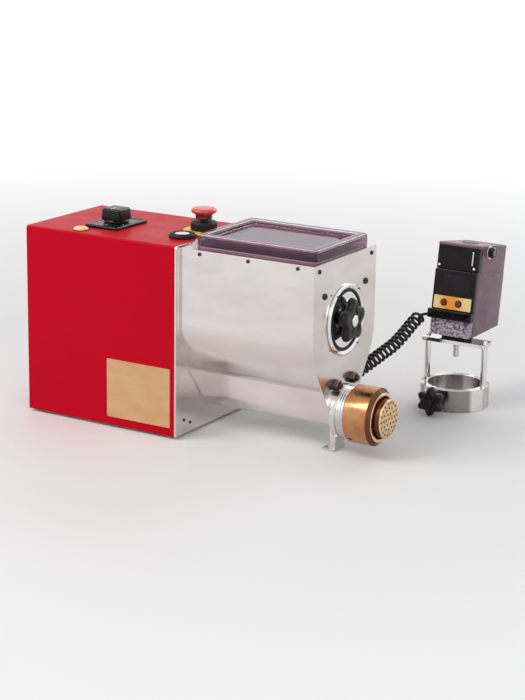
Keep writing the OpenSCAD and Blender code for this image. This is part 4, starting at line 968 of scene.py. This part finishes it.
def selector():
    """Rotary switch: a bevelled plate, a round skirt and a tapered grip with a white line,
    and three white marks round it."""
    length, width, _ = extent("switch_plate")
    x, y, _ = mm(middle("switch_plate"))
    profile = [(20, 0.02), (0, 0.02), (0, 3.4), (1.8, 5), (5, 5), (5.8, 4.2), (20, 4.2)]
    plate = block(length, width, 4, profile, [0.2, 0.8, 0.8, 0.4, 0.4])
    stack("selector_plate", placed(plate, at(x, y, CASING_TOP)), GLOSS, MACHINE,
          replaces=["switch_plate"], slot="gloss_black")
    skirt = [(0, 309.35), (20, 309.35), (20, 311.4), (18.6, 313.2), (0, 313.2)]
    turned("selector_skirt", skirt, at(x, y, 0), UP, GLOSS, "switch", 0.8, 64)
    profile = [(10, 312.8), (0, 312.8), (0.8, 329), (3.2, 331.3), (12, 331.3)]
    grip = block(36, 36, 5, profile, [0.3, 1, 1.6])
    stack("selector_grip", placed(grip, at(x, y, 0)), GLOSS, "switch",
          replaces=["switch_knob"], slot="gloss_black")
    line = block(2.2, 13, 0.6, [(0.9, 331.2), (0, 331.2), (0.3, 331.5), (0.9, 331.5)], 0.1)
    stack("selector_line", placed(line, at(x, y - 8, 0)), WHITE, "switch")
    mark_r = 27
    mark = block(1.6, 5, 0.5, [(0.7, 4.1), (0, 4.1), (0.2, 4.45), (0.7, 4.45)], 0.1)
    for k, angle in enumerate((-60, 0, 60)):
        a = math.radians(angle - 90)
        out, round_it = (math.cos(a), math.sin(a), 0), (-math.sin(a), math.cos(a), 0)
        place = at(x + mark_r * out[0], y + mark_r * out[1], CASING_TOP)
        stack(f"selector_mark_{k}", placed(mark, place, round_it, out), WHITE, MACHINE)


# ---- cutter

def box_at(x, y, z):
    """A place in the leaning motor box: x across, y back from its front, z up along it."""
    return at(*(BOX_PLACE + (x, 0, 0) + y * BOX_Y + z * BOX_Z))


def on_front(rings, x, y, z):
    """Rings whose own z is outward from the box's front face."""
    return placed(rings, box_at(x, y, z), FORWARD, BOX_Z, -BOX_Y)


def in_box(rings):
    """Rings given by the motor box's own x, y and z."""
    return placed(np.array(rings), box_at(0, 0, 0), FORWARD, BOX_Y, BOX_Z)


def cut_height(y):
    """How high along the box its level bottom lies at a distance y from its front."""
    return (BOX_LOW - BOX_PLACE[2]) / math.cos(TILT) + y * math.tan(TILT)


def shell_outline(front, inset, height, on_cut, corner=2.5):
    """One outline of the leaning shell, at a height, or at that height above the level cut."""
    flat = rounded(2 * (BOX_W / 2 - inset), BOX_D - front - 2 * inset, corner)
    flat[:, 1] += (front + BOX_D) / 2
    return np.column_stack([flat, height + cut_height(flat[:, 1]) * on_cut])


def motor_box():
    """The leaning shell: cut off level below, drawn back behind the cover's top, with a lip
    over it. It stands on a black neck, and carries the cord's gland, a round cap and the
    dial's ring."""
    behind_face, behind_top, top_front = 8, 16, 2
    levels = [(behind_face, 3, 0, True), (behind_face, 0.8, 0, True),
              (behind_face, 0, 0.8, True), (behind_face, 0, 103.2, False),
              (behind_face, 0.5, 103.6, False), (behind_face, 0.5, 104, False),
              (behind_top, 0.3, 104, False), (behind_top, 0.3, 143, False),
              (top_front, 0.2, 143, False), (top_front, 0, 143.4, False),
              (top_front, 0, 146.4, False), (top_front, 0.5, 147.4, False),
              (top_front, 1.6, BOX_H, False), (top_front, 4.5, BOX_H, False),
              (top_front, 5.2, 147.5, False)]
    stack("motor_box", in_box([shell_outline(*level) for level in levels]), PLUM, CUTTER,
          replaces=["cutter_box"], slot="box_shell")
    profile = [(8, 110.02), (0, 110.02), (0, 111), (1.2, 112), (1.2, 120), (8, 120)]
    neck = block(44, 30, 2, profile, 0.5)
    stack("box_neck", placed(neck, at(CUTTER_X, CUTTER_Y, 0)), BLACK, CUTTER)
    gland = [(0, -0.5), (6.5, -0.5), (6.5, 2.6), *taper((5.6, 3), (3, 12)), (0, 12)]
    turned("cord_gland", gland, box_at(-BOX_W / 2, 15, 26), REARWARD, BLACK, CUTTER, 0.3, 40,
           lambda a, r, d: r + 0.4 * np.cos(2 * np.pi * d / 2.4) * between(d, 3.4, 11.5))
    cap = [(0, 147), (14, 147), (14, 148.4), (12.6, 149.2), (11, 149.2), (10.4, 148.7),
           (0, 148.7)]
    turned("box_cap", cap, box_at(-8, 62, 0), BOX_Z, CAP, CUTTER, 0.4, 64)
    ring = [(0, -0.5), (11, -0.5), (11, 0.8), (10.6, 1.15), (0, 1.15)]
    turned("dial_ring", ring, box_at(*DIAL_PLACE), FORWARD, ALU, CUTTER, 0.2, 64)


def box_front():
    """The stepped cover: a top that reaches round the sides, a flat middle with a bare
    plate, a proud band, and a rough foot cut off level."""
    # Width, height, middle's x and z, front and back of each
    covers = {"face_top": (74, 38.8, 0, 123.5, 4, 16), "face_middle": (74, 65.8, 0, 71, 0, 8),
              "face_band": (78, 15, -2, 30.5, -5, 8)}
    for name, (width, height, x, z, front, back) in covers.items():
        deep = back - front
        rings = block(width, height, 1.6, [(12, 0), (0, 0), (0, deep), (12, deep)],
                      [0.2, 1.2])
        holds_keys = name == "face_middle"
        if holds_keys:
            # Its first and last outlines become the window's, so that it is bored there
            rings[[0, -1], :, :2] = rounded(*KEY_WINDOW, 3) + (KEYS_X - x, KEYS_Z - z)
        stack(name, on_front(rings, x, back, z), GLOSS, CUTTER, bored=holds_keys,
              replaces=["cutter_face"] if holds_keys else (), slot="gloss_black")
    ribs, half, foot_top, foot_back = 20, 35.6, 23, 8.2
    x = np.linspace(-half, half, ribs * 10 + 1)
    front = 1.5 + 0.9 * (1 - np.abs(np.cos(np.pi * ribs * (x + half) / (2 * half))))
    outline = np.vstack([np.column_stack([x, front]), [(half, foot_back), (-half, foot_back)]])
    rings = [np.column_stack([outline, cut_height(outline[:, 1])]),
             np.column_stack([outline, np.full(len(outline), foot_top)])]
    stack("face_ribs", in_box(rings), FOOT, CUTTER)
    bare = block(36, 24, 1.5, [(10, -0.2), (0, -0.2), (0, 0.1), (0.3, 0.3), (10, 0.3)], 0.05)
    stack("bare_plate", on_front(bare, -2, 0, 83), BLACK, CUTTER)
    clip = block(2.2, 23, 1, [(0.9, -0.4), (0, -0.4), (0, 0.7), (0.5, 1.1), (0.9, 1.1)], 0.1)
    stack("face_clip", on_front(clip, 25.5, 4, 125.5), CHROME, CUTTER)
    heads = [screw_head(2.3, 1.3, box_at(x, 4, z), -BOX_Y, 28)
             for x, z in ((-32.6, 110.2), (29.4, 109.5))]
    link_mesh("face_screw_heads", heads, CHROME, CUTTER)


def keys():
    """Two round keys, each in a thin collar, on the strip's front face. They reach back into
    the window in the cover behind the strip, and a pressed key stays in front of the shell."""
    cap = [(0, -1), (4.5, -1), (4.5, 3.2), (3.6, 4.4), (0, 4.1)]
    collar = [(4.7, 1.45), (6, 1.45), (6, 2.0), (5.4, 2.4), (4.7, 2.2)]
    for side, name in ((-1, "key_left"), (1, "key_right")):
        place = box_at(KEYS_X + side * KEY_APART, 0, KEYS_Z)
        turned(f"{name}_cap", cap, place, -BOX_Y, KEY, name, 0.7, 36, replaces=[name],
               slot="button_red")
        turned(f"{name}_collar", collar, place, -BOX_Y, BLACK, CUTTER, 0.1, 36, bored=True)


def speed_dial():
    """A low knurled dial with a grey middle and a pointer line."""
    side, back, up = DIAL_PLACE
    proud = 1.3
    place = box_at(side + proud, back, up)
    dial = [(0, 0.02), (8.5, 0.02), (8.5, 5.2), (7.6, 7.5), (5.8, 8), (5.4, 7.4), (0, 7.4)]
    turned("speed_dial", dial, place, FORWARD, GLOSS, "speed", 0.7, 144,
           lambda a, r, d: r - 0.15 + 0.15 * np.cos(36 * a) * between(d, 0.6, 5.2),
           replaces=["speed_knob"], slot="gloss_black")
    centre = [(0, 7.2), (5.2, 7.2), (5.2, 7.6), (4.8, 7.8), (0, 7.8)]
    turned("speed_dial_middle", centre, place, FORWARD, CAP, "speed", 0.1, 48)
    line = block(1, 3, 0.4, [(0.4, 7), (0, 7), (0, 7.98), (0.4, 7.98)], 0.05)
    place = box_at(side + proud, back, up + 6.4)
    stack("speed_dial_line", placed(line, place, BOX_Y, BOX_Z, FORWARD), WHITE, "speed")


def clamp():
    """The ring's screw with its long boss and lobed grip, outward from the ring's axis."""
    z, grip_out = 24.5, 80.5
    star_knob("clamp_star", 24, 6, 16, at(CUTTER_X, CUTTER_Y - grip_out, z), FORWARD, UP,
              SIDEWARD, "clamp", ["clamp_knob"], BLACK)
    axis = at(CUTTER_X, CUTTER_Y, z)
    boss = [(0, 57.02), (9.6, 57.02), (10.8, 58.4), (10.8, 62.5), (10.8, 64), (9.6, 66),
            (8.4, 76), (9, 81), (0, 81)]
    turned("clamp_boss", boss, axis, SIDEWARD, BLACK, "clamp", 1.2, 48)
    screw = [(0, 45.9), (4.2, 45.9), (5, 46.7), (5, 57.4), (0, 57.4)]
    turned("clamp_screw", screw, axis, SIDEWARD, TURNED, "clamp", 0.2, 36)


def cutter_fittings():
    """Screws that hold the bar on its rods, and the bevelled shaft that the knife goes on."""
    rod_apart, bar_top = 50.8, mm(high("bridge_bar"))[2]
    heads = [screw_head(4.4, 3.2, at(CUTTER_X + side * rod_apart, CUTTER_Y, bar_top), UP)
             for side in (-1, 1)]
    link_mesh("rod_screw_heads", heads, CHROME, CUTTER)
    shaft = [(0, 80), (4, 80), (5, 81), (5, 90), (4.4, 90.6), (4.4, 92), (5, 92.6), (5, 103),
             (4, 103), (4, 134), (0, 134)]
    turned("knife_pin", shaft, at(CUTTER_X, CUTTER_Y, 0), UP, TURNED, "knife", 0.15, 40,
           replaces=["knife_shaft"], slot="steel_turned")


curly_cord(plug_and_socket())
make_lid()
front_bearing()
tank_screws()
nose()
casing_fittings()
stop_switch()
start_switch()
lamp()
selector()
motor_box()
box_front()
keys()
speed_dial()
clamp()
cutter_fittings()
